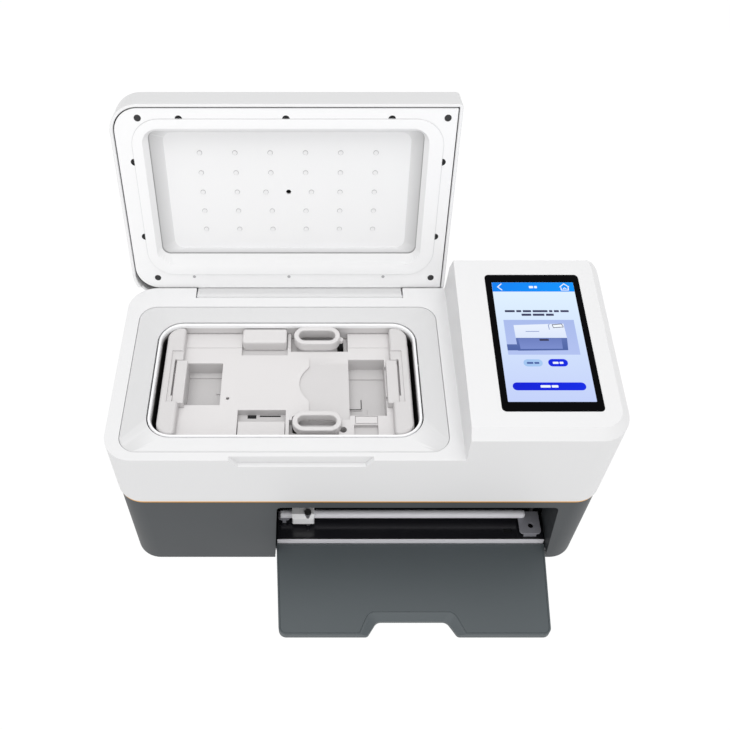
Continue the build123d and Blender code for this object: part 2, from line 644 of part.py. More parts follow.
def door_notch(widen):
    """Finger notch outline in the door's plane, widened by the lip's width."""
    low_z = DOOR_TOP_Z - DOOR_NOTCH_DEPTH - widen
    high_z = DOOR_TOP_Z + 2
    half_low = 31.5 + widen
    half_high = 41.5 + widen
    corners = [(-half_low, low_z), (half_low, low_z), (half_high, high_z), (-half_high, high_z)]
    outline = make_face(Polyline([(DOOR_NOTCH_CX + x, z) for x, z in corners], close=True))
    return fillet(outline.vertices().group_by(Axis.Y)[0], 7.0)


def door_outline():
    """The whole door seen from the front, corners and notch rounded."""
    low = (SLOT_LOW[0] + 1.0, SLOT_LOW[1] - 1.0)
    top = (SLOT_TOP[0] + 1.0, SLOT_TOP[1] - 2.0)
    corners = [(low[0], DOOR_LOW_Z), (low[1], DOOR_LOW_Z), (top[1], DOOR_TOP_Z), (top[0], DOOR_TOP_Z)]
    outline = make_face(Polyline(corners, close=True))
    outline = fillet(outline.vertices().group_by(Axis.Y)[-1], 7.0)
    outline -= door_notch(0)
    rims = [v for v in outline.vertices() if v.Y > DOOR_TOP_Z - 0.1 and abs(v.X - DOOR_NOTCH_CX) < 60]
    return fillet(rims, 4.0)


def upright(sketch, y, thickness):
    """Sketch drawn in (x, z) raised upright, its thickness going to the rear from y."""
    return Pos(0, y + thickness, 0) * Rot(90, 0, 0) * extrude(sketch, amount=thickness)


def make_door():
    outline = door_outline()
    door = upright(outline, DOOR_FACE_Y, DOOR_T)
    inner_y = DOOR_FACE_Y + DOOR_T
    lip_small = Pos(0, inner_y - 3.0, 0) * Rot(90, 0, 0) * door_notch(0)
    lip_large = Pos(0, inner_y + 0.01, 0) * Rot(90, 0, 0) * door_notch(DOOR_LIP)
    door -= loft([lip_small, lip_large])
    for x0, x1 in DOOR_PINS_X:
        door -= rod_x(x0, x1, DOOR_AXIS_Y, DOOR_AXIS_Z, DOOR_PIN_R + RUNNING_GAP)
    return door


DOOR_PIN_R = 1.2
DOOR_PINS_X = ((SLOT_LOW[0] - 3.0, SLOT_LOW[0] + 9.0), (SLOT_LOW[1] - 9.0, SLOT_LOW[1] + 3.0))
door_axis = Axis((0, DOOR_AXIS_Y, DOOR_AXIS_Z), (1, 0, 0))
parts["slot_door"] = make_door().rotate(door_axis, 90)
parts["door_hinge_pins"] = group(
    rod_x(a, b, DOOR_AXIS_Y, DOOR_AXIS_Z, DOOR_PIN_R) for a, b in DOOR_PINS_X
)


# ---- film cutter behind the slot ----
LINER_REAR = 38.0
LINER_WALL = 3.0


def make_slot_liner():
    """Two cheeks and a ceiling behind the front wall, following the slot's outline."""
    low = BASE_FLOOR
    top = SLOT_TOP_Z
    left = slot_edge(0, low)
    right = slot_edge(1, low)
    points = [
        (left - LINER_WALL, low),
        (left, low),
        (slot_edge(0, top), top),
        (slot_edge(1, top), top),
        (right, low),
        (right + LINER_WALL, low),
        (slot_edge(1, top) + LINER_WALL, top + LINER_WALL),
        (slot_edge(0, top) - LINER_WALL, top + LINER_WALL),
    ]
    liner = profile_y(points, BASE[2] + WALL, LINER_REAR)
    for a, b in DOOR_PINS_X:
        liner -= rod_x(a, b, DOOR_AXIS_Y, DOOR_AXIS_Z, DOOR_PIN_R)
    return liner


parts["slot_liner"] = make_slot_liner()
BED = (136.0, 389.0, 12.6, 96.0)
BED_TOP = 11.5
parts["cutting_bed"] = prism(BED, BASE_FLOOR, BED_TOP) - prism((352, 360, 20, 24), 8, BED_TOP)
parts["bed_edge_strip"] = prism((136.0, 389.0, BED_FRONT, BED[2]), BASE_FLOOR, BED_TOP + 0.5)


def make_side_plate(x0, x1):
    """Upright cutter cheek that holds the rod and both rollers."""
    plate = prism((x0, x1, 39.0, 92.0), BED_TOP, 70.0)
    plate -= rod_x(x0, x1, FEED_Y, FEED_Z, FEED_SHAFT_R + RUNNING_GAP)
    return plate - rod_x(x0, x1, FEED_Y, PINCH_Z, PINCH_SHAFT_R + RUNNING_GAP)


PINCH_Z = FEED_Z + FEED_R + PINCH_R + 0.2
CHEEKS_X = ((140.0, 143.0), (378.0, 381.0))
parts["left_cheek_plate"] = make_side_plate(*CHEEKS_X[0])
parts["right_cheek_plate"] = make_side_plate(*CHEEKS_X[1])


def make_rod_bracket(x0, x1, front_y):
    """Folded steel bracket under the end of the guide rod."""
    top = ROD_Z - ROD_R
    plate = prism((x0, x1, front_y, 39.0), top - 2, top, 0)
    front_corners = plate.edges().filter_by(Axis.Z).sort_by(Axis.Y)[:2]
    plate = fillet(front_corners, 3.5)
    plate += prism((x0 + 4, x1 - 4, front_y, front_y + 2), BED_TOP, top - 2)
    return plate + prism((x0, x1, 37.0, 39.0), BED_TOP, top - 2)


BRACKET_HOLE = (377.0, 24.0)
parts["right_rod_bracket"] = make_rod_bracket(366.0, 386.0, 15.5) - rod_z(*BRACKET_HOLE, 16, 18, 2.6)
parts["left_rod_bracket"] = make_rod_bracket(136.5, 148.0, 30.0)
ROD_X = (139.0, 372.0)
guide_rod = rod_x(ROD_X[0], ROD_X[1], ROD_Y, ROD_Z, ROD_R)
parts["guide_rod"] = fillet(guide_rod.faces().sort_by(Axis.X)[-1].edges(), 2.5)

# ---- blade carriage ----
CARRIAGE_X = (150.0, 171.0)
CARRIAGE_TRAVEL = 190.0
BLADE_XY = (165.0, 27.0)
HOLDER_R = 2.2
HOLDER_CAP_R = 3.4
HOLDER_Z = (15.5, 36.0)
HOLDER_CAP_H = 2.5
BLADE_TIP_H = 1.5


def make_carriage():
    """Plastic block on the guide rod, its front lip curving down over the bed."""
    points = [
        (24.3, 20.0),
        (27.5, 16.5),
        (38.5, 15.0),
        (38.5, 30.5),
        (35.0, 33.5),
        (27.5, 33.5),
        (24.3, 29.0),
    ]
    block = profile_x(points, *CARRIAGE_X)
    block = fillet(block.edges().filter_by(Axis.Z).sort_by(Axis.Y)[:2], 2.0)
    block -= rod_x(*CARRIAGE_X, ROD_Y, ROD_Z, ROD_R + RUNNING_GAP)
    return block - rod_z(*BLADE_XY, 10, 40, HOLDER_R + RUNNING_GAP)


def make_blade_holder():
    """Round holder with a cap, and the point of the blade at its foot."""
    holder = rod_z(*BLADE_XY, *HOLDER_Z, HOLDER_R)
    holder += rod_z(*BLADE_XY, HOLDER_Z[1], HOLDER_Z[1] + HOLDER_CAP_H, HOLDER_CAP_R)
    tip_middle = Pos(*BLADE_XY, HOLDER_Z[0] - BLADE_TIP_H / 2)
    return holder + tip_middle * Cone(0.2, 1.0, BLADE_TIP_H)


parts["blade_carriage"] = make_carriage()
parts["blade_holder"] = make_blade_holder()


# ---- film feed rollers ----
ROLLER_X = (145.0, 376.0)


def make_feed_roller():
    roller = rod_x(*ROLLER_X, FEED_Y, FEED_Z, FEED_R)
    return roller + rod_x(139.0, 389.8, FEED_Y, FEED_Z, FEED_SHAFT_R)


def make_pinch_roller():
    roller = rod_x(*ROLLER_X, FEED_Y, PINCH_Z, PINCH_R)
    return roller + rod_x(139.0, 382.0, FEED_Y, PINCH_Z, PINCH_SHAFT_R)


parts["feed_roller"] = make_feed_roller()
parts["pinch_roller"] = make_pinch_roller()
parts["feed_motor"] = prism((390.2, 413.0, 46.0, 74.0), BASE_FLOOR, 33.0, 2)
parts["carriage_motor"] = prism((160.0, 188.0, 64.0, 92.0), 42.0, 68.0, 2)
parts["cutter_rear_cover"] = prism((136.0, 389.0, 96.2, 97.8), BASE_FLOOR, 100.0)
parts["motor_bridge"] = prism((143.0, 378.0, 64.0, 92.0), 38.0, 41.0) + prism(
    (143.0, 378.0, 62.0, 64.0), 38.0, 48.0
)

# ---- pumps, power and control in the base ----
parts["power_supply"] = prism((18.0, 128.0, 112.0, 172.0), CHASSIS_Z, CHASSIS_Z + 22, 2)
PUMP_X = 66.0
PUMP_Z = 36.0
PUMP_MOTOR_R = 17.0
parts["pump_motor"] = rod_y(PUMP_X, 22.0, 62.0, PUMP_Z, PUMP_MOTOR_R)
parts["pump_head"] = prism((PUMP_X - 20, PUMP_X + 20, 62.0, 92.0), PUMP_Z - 20, PUMP_Z + 20, 4)
cradle_block = prism((PUMP_X - 22, PUMP_X + 22, 26.0, 58.0), CHASSIS_Z, PUMP_Z - 2)
parts["pump_cradle"] = cradle_block - rod_y(PUMP_X, 0, 80.0, PUMP_Z, PUMP_MOTOR_R)
parts["air_valve"] = prism((200.0, 228.0, 120.0, 150.0), CHASSIS_Z, 40.0, 2)
BOARD_Z = 62.0
BOARD = (300.0, 404.0, 100.0, 176.0)
BOARD_POSTS = [(306, 106), (398, 106), (306, 170), (398, 170)]
parts["control_board"] = prism(BOARD, BOARD_Z, BOARD_Z + 1.6)
parts["board_posts"] = group(rod_z(x, y, CHASSIS_Z, BOARD_Z, 3) for x, y in BOARD_POSTS)
CHIPS = [(320, 340, 115, 135, 3), (352, 364, 112, 124, 2), (372, 396, 140, 166, 9), (310, 350, 150, 168, 7)]
parts["board_components"] = group(
    prism((x0, x1, y0, y1), BOARD_Z + 1.6, BOARD_Z + 1.6 + h) for x0, x1, y0, y1, h in CHIPS
)


# ---- rear sockets ----
INNER_REAR = BASE[3] - WALL
BLADE_RECESS = 4.0
OUTER_REAR = BASE[3]


def make_inlet():
    """Mains inlet socket with three blades in its cavity."""
    half_w = INLET_SIZE[0] / 2
    half_h = INLET_SIZE[1] / 2
    body = prism(
        (INLET_X - half_w, INLET_X + half_w, INNER_REAR - 15, OUTER_REAR), REAR_Z - half_h, REAR_Z + half_h
    )
    cavity = (INLET_X - 12, INLET_X + 12, INNER_REAR - 12, OUTER_REAR)
    body -= prism(cavity, REAR_Z - 8, REAR_Z + 8)
    for x, z in ((-7, -2), (0, 2), (7, -2)):
        blade = (INLET_X + x - 1, INLET_X + x + 1, INNER_REAR - 12, INNER_REAR - BLADE_RECESS)
        body += prism(blade, REAR_Z + z - 2, REAR_Z + z + 2)
    return body


parts["power_inlet"] = make_inlet()
switch_half = (SWITCH_SIZE[0] / 2, SWITCH_SIZE[1] / 2)
switch_span = (SWITCH_X - switch_half[0], SWITCH_X + switch_half[0], INNER_REAR - 12, OUTER_REAR)
switch_frame = prism(switch_span, REAR_Z - switch_half[1], REAR_Z + switch_half[1])
switch_well = (SWITCH_X - 5, SWITCH_X + 5, INNER_REAR - 9, OUTER_REAR)
parts["switch_housing"] = switch_frame - prism(switch_well, REAR_Z - 8, REAR_Z + 8)
ROCKER_TILT = 8.0
ROCKER_Y = OUTER_REAR - 4.0
rocker_points = [(-3.0, -6.6), (0.5, -6.6), (2.4, 0.0), (0.5, 6.6), (-3.0, 6.6)]
rocker = profile_x([(ROCKER_Y + y, REAR_Z + z) for y, z in rocker_points], SWITCH_X - 4.7, SWITCH_X + 4.7)
parts["power_rocker"] = rocker.rotate(Axis((0, ROCKER_Y, REAR_Z), (1, 0, 0)), -ROCKER_TILT)

# ---- write every node in the row frame: centred on the open machine's footprint ----
boxes = [solid.bounding_box() for solid in parts.values()]
ROW_ORIGIN = (
    (min(b.min.X for b in boxes) + max(b.max.X for b in boxes)) / 2,
    (min(b.min.Y for b in boxes) + max(b.max.Y for b in boxes)) / 2,
    min(b.min.Z for b in boxes),
)

if __name__ == "__main__":
    os.makedirs("parts", exist_ok=True)
    for name, solid in parts.items():
        export_step(Pos(-ROW_ORIGIN[0], -ROW_ORIGIN[1], -ROW_ORIGIN[2]) * solid, "parts/" + name + ".step")
    print(len(parts), "nodes; row origin at machine", ROW_ORIGIN)
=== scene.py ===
import json
import math

import bmesh
import bpy
from bpy.props import FloatProperty, FloatVectorProperty, PointerProperty
from bpy.types import Operator, Panel, PropertyGroup
from mathutils import Matrix, Vector


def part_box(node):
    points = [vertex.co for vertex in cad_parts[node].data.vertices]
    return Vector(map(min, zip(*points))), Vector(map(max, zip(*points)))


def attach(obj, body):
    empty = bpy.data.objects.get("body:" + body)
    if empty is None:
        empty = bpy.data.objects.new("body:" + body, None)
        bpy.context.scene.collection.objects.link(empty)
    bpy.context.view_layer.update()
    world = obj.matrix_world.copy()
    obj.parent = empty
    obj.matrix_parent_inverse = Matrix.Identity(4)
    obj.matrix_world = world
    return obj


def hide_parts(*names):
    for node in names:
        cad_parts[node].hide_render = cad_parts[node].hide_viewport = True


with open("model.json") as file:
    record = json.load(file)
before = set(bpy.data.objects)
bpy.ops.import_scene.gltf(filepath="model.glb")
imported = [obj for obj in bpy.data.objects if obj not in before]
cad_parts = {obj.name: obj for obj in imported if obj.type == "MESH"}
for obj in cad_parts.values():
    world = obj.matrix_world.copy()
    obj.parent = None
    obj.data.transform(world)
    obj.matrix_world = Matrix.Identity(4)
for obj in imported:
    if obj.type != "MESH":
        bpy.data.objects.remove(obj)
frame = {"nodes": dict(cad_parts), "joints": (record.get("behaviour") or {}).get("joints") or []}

bl_info = {
    "name": "Film cutter and laminator looks",
    "version": (1, 0, 0),
    "blender": (4, 5, 0),
    "location": "View3D > Sidebar > Laminator",
    "description": "Builds the looks of a phone film cutting and laminating machine",
    "category": "Object",
}

MM = 0.001
NODES = frame["nodes"]
JOINTS = {joint["name"]: joint for joint in frame["joints"]}
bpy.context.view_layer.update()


# ---------------------------------------------------------------- places, from the frame
def span(node):
    """Lowest and highest corner of a CAD node at rest."""
    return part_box(node)


SHELL_LOW = span("upper_shell")[0]
GROUND = span("feet")[0].z
TABLE_DROP = 4.0  # the base's datum stands this far above the table, on its feet
ORIGIN = Vector((SHELL_LOW.x, SHELL_LOW.y, GROUND + TABLE_DROP * MM))
HINGE = Vector(JOINTS["lid_hinge"]["pos_m"])
LID_ANGLE = math.radians(JOINTS["lid_hinge"]["range_deg"][1])


def at(x, y, z):
    """Row-frame point from the machine's own millimetres: body's left, front face, base datum."""
    return ORIGIN + Vector((x, y, z)) * MM


def opened_lid():
    """Turns the shut lid, in row-frame places, into the open lid about its hinge."""
    place = Matrix.Translation(Vector((0, HINGE.y, HINGE.z)))
    return place @ Matrix.Rotation(-LID_ANGLE, 4, "X") @ place.inverted()


# ---------------------------------------------------------------- mesh helpers
WELD_REACH = 2e-6
FLAT_SEAM_DEG = 0.6
BEVELLED_DEG = 40


def new_object(name, data):
    """Object with this mesh, curve, lamp or lens, put in the scene."""
    piece = bpy.data.objects.new(name, data)
    bpy.context.scene.collection.objects.link(piece)
    return piece


def mesh_from(name, verts, faces):
    """Mesh object from points and faces, with outward normals."""
    mesh = bpy.data.meshes.new(name)
    mesh.from_pydata([tuple(v) for v in verts], [], faces)
    work = bmesh.new()
    work.from_mesh(mesh)
    bmesh.ops.remove_doubles(work, verts=work.verts, dist=1e-7)
    bmesh.ops.recalc_face_normals(work, faces=work.faces)
    work.to_mesh(mesh)
    work.free()
    return new_object(name, mesh)


def apply_modifiers(piece):
    """Bakes the modifier stack into the piece's mesh."""
    graph = bpy.context.evaluated_depsgraph_get()
    graph.update()
    mesh = bpy.data.meshes.new_from_object(piece.evaluated_get(graph))
    old = piece.data
    piece.modifiers.clear()
    piece.data = mesh
    mesh.name = piece.name
    if old.users == 0:
        bpy.data.meshes.remove(old)


def smooth(piece, degrees):
    """Smooth shading that keeps edges sharper than the angle."""
    mesh = piece.data
    mesh.shade_smooth()
    work = bmesh.new()
    work.from_mesh(mesh)
    limit = math.radians(degrees)
    for edge in work.edges:
        edge.smooth = not (len(edge.link_faces) == 2 and edge.calc_face_angle(0) > limit)
    work.to_mesh(mesh)
    work.free()


def settle_normals(piece):
    """Keeps flat faces flat in the shading, their round edges taking up the whole turn."""
    weighted = piece.modifiers.new("flats", "WEIGHTED_NORMAL")
    weighted.keep_sharp = True
    apply_modifiers(piece)


def round_edges(piece, width, segments=3, degrees=32):
    """Rounds a piece's hard edges with a real bevel."""
    bevel = piece.modifiers.new("rounding", "BEVEL")
    bevel.width = width * MM
    bevel.segments = segments
    bevel.limit_method = "ANGLE"
    bevel.angle_limit = math.radians(degrees)
    bevel.use_clamp_overlap = True
    bevel.harden_normals = False
    apply_modifiers(piece)
    smooth(piece, BEVELLED_DEG)
    settle_normals(piece)


def eased(node, width, segments=3, degrees=32):
    """A moulded piece in a CAD node's place: welded, cleaned of flat seams and round-edged."""
    mesh = NODES[node].data.copy()
    piece = new_object(node + "_moulded", mesh)
    work = bmesh.new()
    work.from_mesh(mesh)
    bmesh.ops.remove_doubles(work, verts=work.verts, dist=WELD_REACH)
    bmesh.ops.dissolve_limit(
        work,
        angle_limit=math.radians(FLAT_SEAM_DEG),
        use_dissolve_boundaries=False,
        verts=work.verts,
        edges=work.edges,
    )
    work.to_mesh(mesh)
    work.free()
    round_edges(piece, width, segments, degrees)
    return piece


def groove_top(piece, inset, width, depth):
    """Cuts a V groove along the outline of the piece's upper face."""
    mesh = piece.data
    work = bmesh.new()
    work.from_mesh(mesh)
    top = max((f for f in work.faces if f.normal.z > 0.99), key=lambda f: f.calc_area())
    for step, drop in ((inset, 0.0), (width / 2, -depth), (width / 2, depth)):
        bmesh.ops.inset_region(
            work, faces=[top], thickness=step * MM, depth=drop * MM, use_even_offset=True
        )
    work.to_mesh(mesh)
    work.free()
    smooth(piece, BEVELLED_DEG)
    settle_normals(piece)


def dress(mesh, material):
    """Leaves a mesh with this one material."""
    mesh.materials.clear()
    mesh.materials.append(material)


def finish_piece(piece, body, material, *replaced):
    """Gives a piece its finish, its body and the CAD nodes that it stands for."""
    dress(piece.data, material)
    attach(piece, body)
    if replaced:
        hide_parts(*replaced)


def eased_stand_in(node, body, finish, width, segments=3):
    """Round-edged piece that stands for one CAD node."""
    piece = eased(node, width, segments)
    finish_piece(piece, body, FINISH[finish], node)


def paint_nodes(finishes):
    """Puts finishes on CAD nodes that stay as they are, from a table of node and finish."""
    for node, finish in finishes.items():
        dress(NODES[node].data, FINISH[finish])


LEAST_CORNER_R = 0.3


def rounded_points(x0, x1, y0, y1, radius, steps=10):
    """Points round a rectangle with round corners, anticlockwise, always the same number."""
    points = []
    corners = ((x1, y1, 0), (x0, y1, 90), (x0, y0, 180), (x1, y0, 270))
    for cx, cy, start in corners:
        sx = -1 if cx == x1 else 1
        sy = -1 if cy == y1 else 1
        for i in range(steps + 1):
            turn = math.radians(start + 90 * i / steps)
            px = cx + sx * radius + radius * math.cos(turn)
            py = cy + sy * radius + radius * math.sin(turn)
            points.append((px, py))
    return points


def inset_points(box, radius, inset, steps):
    """The same outline moved inwards, its corner radius following."""
    x0, x1, y0, y1 = box
    r = max(radius - inset, LEAST_CORNER_R)
    return rounded_points(x0 + inset, x1 - inset, y0 + inset, y1 - inset, r, steps)


def swept_ring(name, box, radius, profile, steps):
    """Moulding swept round a rectangle with round corners: profile is a closed (inset, z) line."""
    loops = [
        [at(x, y, z) for x, y in inset_points(box, radius, inset, steps)] for inset, z in profile
    ]
    verts = [point for loop in loops for point in loop]
    rows = len(loops)
    count = len(loops[0])
    faces = []
    for row in range(rows):
        low = row * count
        high = ((row + 1) % rows) * count
        for i in range(count):
            j = (i + 1) % count
            faces.append((low + i, low + j, high + j, high + i))
    return mesh_from(name, verts, faces)


def sticker(name, outlines, height, material, place, thickness, body):
    """Thin flat shape at a height over a surface, from closed outlines in millimetres."""
    curve = bpy.data.curves.new(name, "CURVE")
    curve.dimensions = "2D"
    curve.fill_mode = "BOTH"
    curve.extrude = thickness / 2 * MM
    for outline in outlines:
        spline = curve.splines.new("POLY")
        spline.points.add(len(outline) - 1)
        for point, (x, y) in zip(spline.points, outline):
            point.co = (x * MM, y * MM, 0, 1)
        spline.use_cyclic_u = True
    source = new_object(name + "_outline", curve)
    graph = bpy.context.evaluated_depsgraph_get()
    graph.update()
    mesh = bpy.data.meshes.new_from_object(source.evaluated_get(graph))
    bpy.data.objects.remove(source)
    bpy.data.curves.remove(curve)
    piece = new_object(name, mesh)
    piece.matrix_world = place @ Matrix.Translation((0, 0, (height + thickness / 2) * MM))
    finish_piece(piece, body, material)


def level_place(z):
    """Frame lying level at a height, its origin at the machine's front left corner."""
    return Matrix.Translation(at(0, 0, z))


def box_outline(x0, x1, y0, y1, radius=0.0):
    """Rectangle's outline, its corners round when a radius is given."""
    if radius <= 0:
        return [(x0, y0), (x1, y0), (x1, y1), (x0, y1)]
    return rounded_points(x0, x1, y0, y1, radius, 6)


def circle(x, y, radius, steps=24):
    """Circle's outline."""
    turns = [2 * math.pi * i / steps for i in range(steps)]
    return [(x + radius * math.cos(t), y + radius * math.sin(t)) for t in turns]


SHARPEST_MITRE = 0.4


def beside(points, distance, closed):
    """The same line moved sideways, its corners mitred."""
    moved = []
    last = len(points) - 1
    for i, point in enumerate(points):
        here = Vector(point)
        ahead = here - Vector(points[i - 1]) if closed or i > 0 else Vector((0, 0))
        onward = Vector(points[(i + 1) % len(points)]) - here if closed or i < last else ahead
        if ahead.length == 0:
            ahead = onward
        ahead = ahead.normalized()
        along = (ahead + onward.normalized()).normalized()
        side = Vector((-along.y, along.x))
        reach = distance / max(SHARPEST_MITRE, side.dot(Vector((-ahead.y, ahead.x))))
        moved.append(tuple(here + side * reach))
    return moved


def drawn_line(points, width):
    """Outline of an open line of the given width."""
    return [beside(points, width / 2, False) + beside(points, -width / 2, False)[::-1]]


def drawn_loop(points, width):
    """Outer and inner outline of a closed line of the given width."""
    return [beside(points, width / 2, True), beside(points, -width / 2, True)]


WORD_BAR_R = 0.45


def word_bars(x0, x1, y0, y1, lengths, gap=0.9):
    """Row of short plain bars in place of a caption."""
    unit = (x1 - x0 - gap * (len(lengths) - 1)) / sum(lengths)
    bars = []
    x = x0
    for length in lengths:
        bars.append(box_outline(x, x + unit * length, y0, y1, WORD_BAR_R))
        x += unit * length + gap
    return bars


# ---------------------------------------------------------------- shared surface effects
EFFECT_OUTPUTS = (
    ("Color", "NodeSocketColor"),
    ("Roughness", "NodeSocketFloat"),
    ("Height", "NodeSocketFloat"),
)
SLOW_SCALE = 14.0
SLOW_DETAIL = 2.0
FINE_DETAIL = 3.0
MOULDED_ROUGHNESS_DRIFT = 0.12
DRAWN_ROUGHNESS = 0.32
DRAWN_ROUGHNESS_DRIFT = 0.25


def new_group(name, inputs):
    """Empty effect group with its named sockets."""
    group = bpy.data.node_groups.new(name, "ShaderNodeTree")
    for label, kind, default in inputs:
        socket = group.interface.new_socket(label, in_out="INPUT", socket_type=kind)
        socket.default_value = default
    for label, kind in EFFECT_OUTPUTS:
        group.interface.new_socket(label, in_out="OUTPUT", socket_type=kind)
    return group, group.nodes.new("NodeGroupInput"), group.nodes.new("NodeGroupOutput")


def feed(tree, target, value):
    """Links a socket to an input, or sets the input to a plain value."""
    if isinstance(value, bpy.types.NodeSocket):
        tree.links.new(value, target)
    else:
        target.default_value = value


def worked(tree, kind, operation, *values):
    """First output of a Math or Vector Math node, its inputs fed in order."""
    node = tree.nodes.new(kind)
    node.operation = operation
    for target, value in zip(node.inputs, values):
        feed(tree, target, value)
    return node.outputs[0]


def math_node(tree, operation, *values):
    return worked(tree, "ShaderNodeMath", operation, *values)


def vector_math(tree, operation, *values):
    return worked(tree, "ShaderNodeVectorMath", operation, *values)


def noise(tree, vector, scale, detail):
    """Noise texture's value over a vector."""
    texture = tree.nodes.new("ShaderNodeTexNoise")
    texture.inputs["Detail"].default_value = detail
    feed(tree, texture.inputs["Vector"], vector)
    feed(tree, texture.inputs["Scale"], scale)
    return texture.outputs["Fac"]


def object_place(tree):
    return tree.nodes.new("ShaderNodeTexCoord").outputs["Object"]


def toned(group, source, sink, centred, amount):
    """Sends out the group's tone, made lighter and darker by a value that runs about zero."""
    factor = math_node(group, "MULTIPLY_ADD", centred, source.outputs[amount], 1.0)
    tone = group.nodes.new("ShaderNodeVectorMath")
    tone.operation = "SCALE"
    group.links.new(source.outputs["Tone"], tone.inputs[0])
    group.links.new(factor, tone.inputs["Scale"])
    group.links.new(tone.outputs[0], sink.inputs["Color"])


def moulded_skin_group():
    """Fine mould texture: slow tone drift, roughness drift and a shallow bump height."""
    inputs = (
        ("Tone", "NodeSocketColor", (0.8, 0.8, 0.8, 1)),
        ("Drift", "NodeSocketFloat", 0.02),
        ("Grain Scale", "NodeSocketFloat", 900.0),
        ("Roughness", "NodeSocketFloat", 0.4),
    )
    group, source, sink = new_group("Moulded Skin", inputs)
    place = object_place(group)
    slow = noise(group, place, SLOW_SCALE, SLOW_DETAIL)
    fine = noise(group, place, source.outputs["Grain Scale"], FINE_DETAIL)
    centred = math_node(group, "SUBTRACT", slow, 0.5)
    toned(group, source, sink, centred, "Drift")
    base = source.outputs["Roughness"]
    rough = math_node(group, "MULTIPLY_ADD", centred, MOULDED_ROUGHNESS_DRIFT, base)
    group.links.new(rough, sink.inputs["Roughness"])
    group.links.new(fine, sink.inputs["Height"])
    return group


def drawn_lines_group():
    """Lines drawn along one axis of a metal piece, as a tone, a roughness and a height."""
    inputs = (
        ("Tone", "NodeSocketColor", (0.6, 0.6, 0.6, 1)),
        ("Line Stretch", "NodeSocketVector", (20.0, 900.0, 900.0)),
        ("Contrast", "NodeSocketFloat", 0.2),
    )
    group, source, sink = new_group("Drawn Lines", inputs)
    stretched = vector_math(group, "MULTIPLY", object_place(group), source.outputs["Line Stretch"])
    lines = noise(group, stretched, 1.0, FINE_DETAIL)
    centred = math_node(group, "SUBTRACT", lines, 0.5)
    toned(group, source, sink, centred, "Contrast")
    rough = math_node(group, "MULTIPLY_ADD", centred, DRAWN_ROUGHNESS_DRIFT, DRAWN_ROUGHNESS)
    group.links.new(rough, sink.inputs["Roughness"])
    group.links.new(lines, sink.inputs["Height"])
    return group


# ---------------------------------------------------------------- materials
BUMP_STRENGTH = 0.6


def shaded(name):
    """New node material, its node tree and its Principled shader."""
    material = bpy.data.materials.new(name)
    material.use_nodes = True
    tree = material.node_tree
    return material, tree, tree.nodes["Principled BSDF"]


def remapped(tree, value, start, end, low=0.0, high=1.0):
    """Value run from start to end, turned into one from low to high and held there."""
    node = tree.nodes.new("ShaderNodeMapRange")
    node.inputs["From Min"].default_value = start
    node.inputs["From Max"].default_value = end
    node.inputs["To Min"].default_value = low
    node.inputs["To Max"].default_value = high
    tree.links.new(value, node.inputs["Value"])
    return node.outputs[0]


def coloured(tree, value, stops):
    """Colour ramp over a value, from (place, colour) stops."""
    ramp = tree.nodes.new("ShaderNodeValToRGB")
    marks = ramp.color_ramp.elements
    while len(marks) < len(stops):
        marks.new(1.0)
    for mark, (place, colour) in zip(marks, stops):
        mark.position = place
        mark.color = (*colour, 1)
    tree.links.new(value, ramp.inputs["Fac"])
    return ramp.outputs["Color"]


def along_axis(tree, axis):
    """Place along one axis of the piece."""
    parts = tree.nodes.new("ShaderNodeSeparateXYZ")
    tree.links.new(object_place(tree), parts.inputs[0])
    return parts.outputs[axis]


def effect_material(name, group, values, depth):
    """Material whose shader takes colour, roughness and bump from an effect group."""
    material, tree, shader = shaded(name)
    effect = tree.nodes.new("ShaderNodeGroup")
    effect.name = "Effect"
    effect.node_tree = GROUPS[group]
    for label, value in values.items():
        effect.inputs[label].default_value = value
    tree.links.new(effect.outputs["Color"], shader.inputs["Base Color"])
    tree.links.new(effect.outputs["Roughness"], shader.inputs["Roughness"])
    bump = tree.nodes.new("ShaderNodeBump")
    bump.inputs["Distance"].default_value = depth * MM
    bump.inputs["Strength"].default_value = BUMP_STRENGTH
    tree.links.new(effect.outputs["Height"], bump.inputs["Height"])
    tree.links.new(bump.outputs["Normal"], shader.inputs["Normal"])
    return material, shader


def shade_painted_along(material, source, direction, start, end, stops):
    """Paints shade into a finish along a direction, by the place ("Object") or the facing
    ("Normal").
    """
    tree = material.node_tree
    tone = tree.nodes["Effect"].inputs["Tone"]
    before = tone.links[0].from_socket if tone.is_linked else tone.default_value[:3]
    coord = tree.nodes.new("ShaderNodeTexCoord")
    reach = tree.nodes.new("ShaderNodeVectorMath")
    reach.operation = "DOT_PRODUCT"
    reach.inputs[1].default_value = direction
    tree.links.new(coord.outputs[source], reach.inputs[0])
    run = remapped(tree, reach.outputs["Value"], start, end)
    painted_shade_factor = coloured(tree, run, [(place, (level,) * 3) for place, level in stops])
    tree.links.new(vector_math(tree, "MULTIPLY", before, painted_shade_factor), tone)
    return material


def shade_painted_by_height(material, place, low, high, stops):
    """Paints shade into a finish by height in the machine's millimetres, on a body turned by place.
    """
    up = place.to_3x3() @ Vector((0, 0, 1))
    start, end = ((place @ at(0, 0, z)).dot(up) for z in (low, high))
    return shade_painted_along(material, "Object", up, start, end, stops)


SIDE_FACING = (-0.6, 0.6)
UP_FACING = (0.3, 0.98)


def shade_painted_by_facing(material, left, right, up):
    """Paints shade into faces that look left, right and up, greying them by these factors."""
    sides = ((0.0, left), (0.42, 1.0), (0.58, 1.0), (1.0, right))
    shade_painted_along(material, "Normal", (1, 0, 0), *SIDE_FACING, sides)
    return shade_painted_along(material, "Normal", (0, 0, 1), *UP_FACING, ((0.0, 1.0), (1.0, up)))


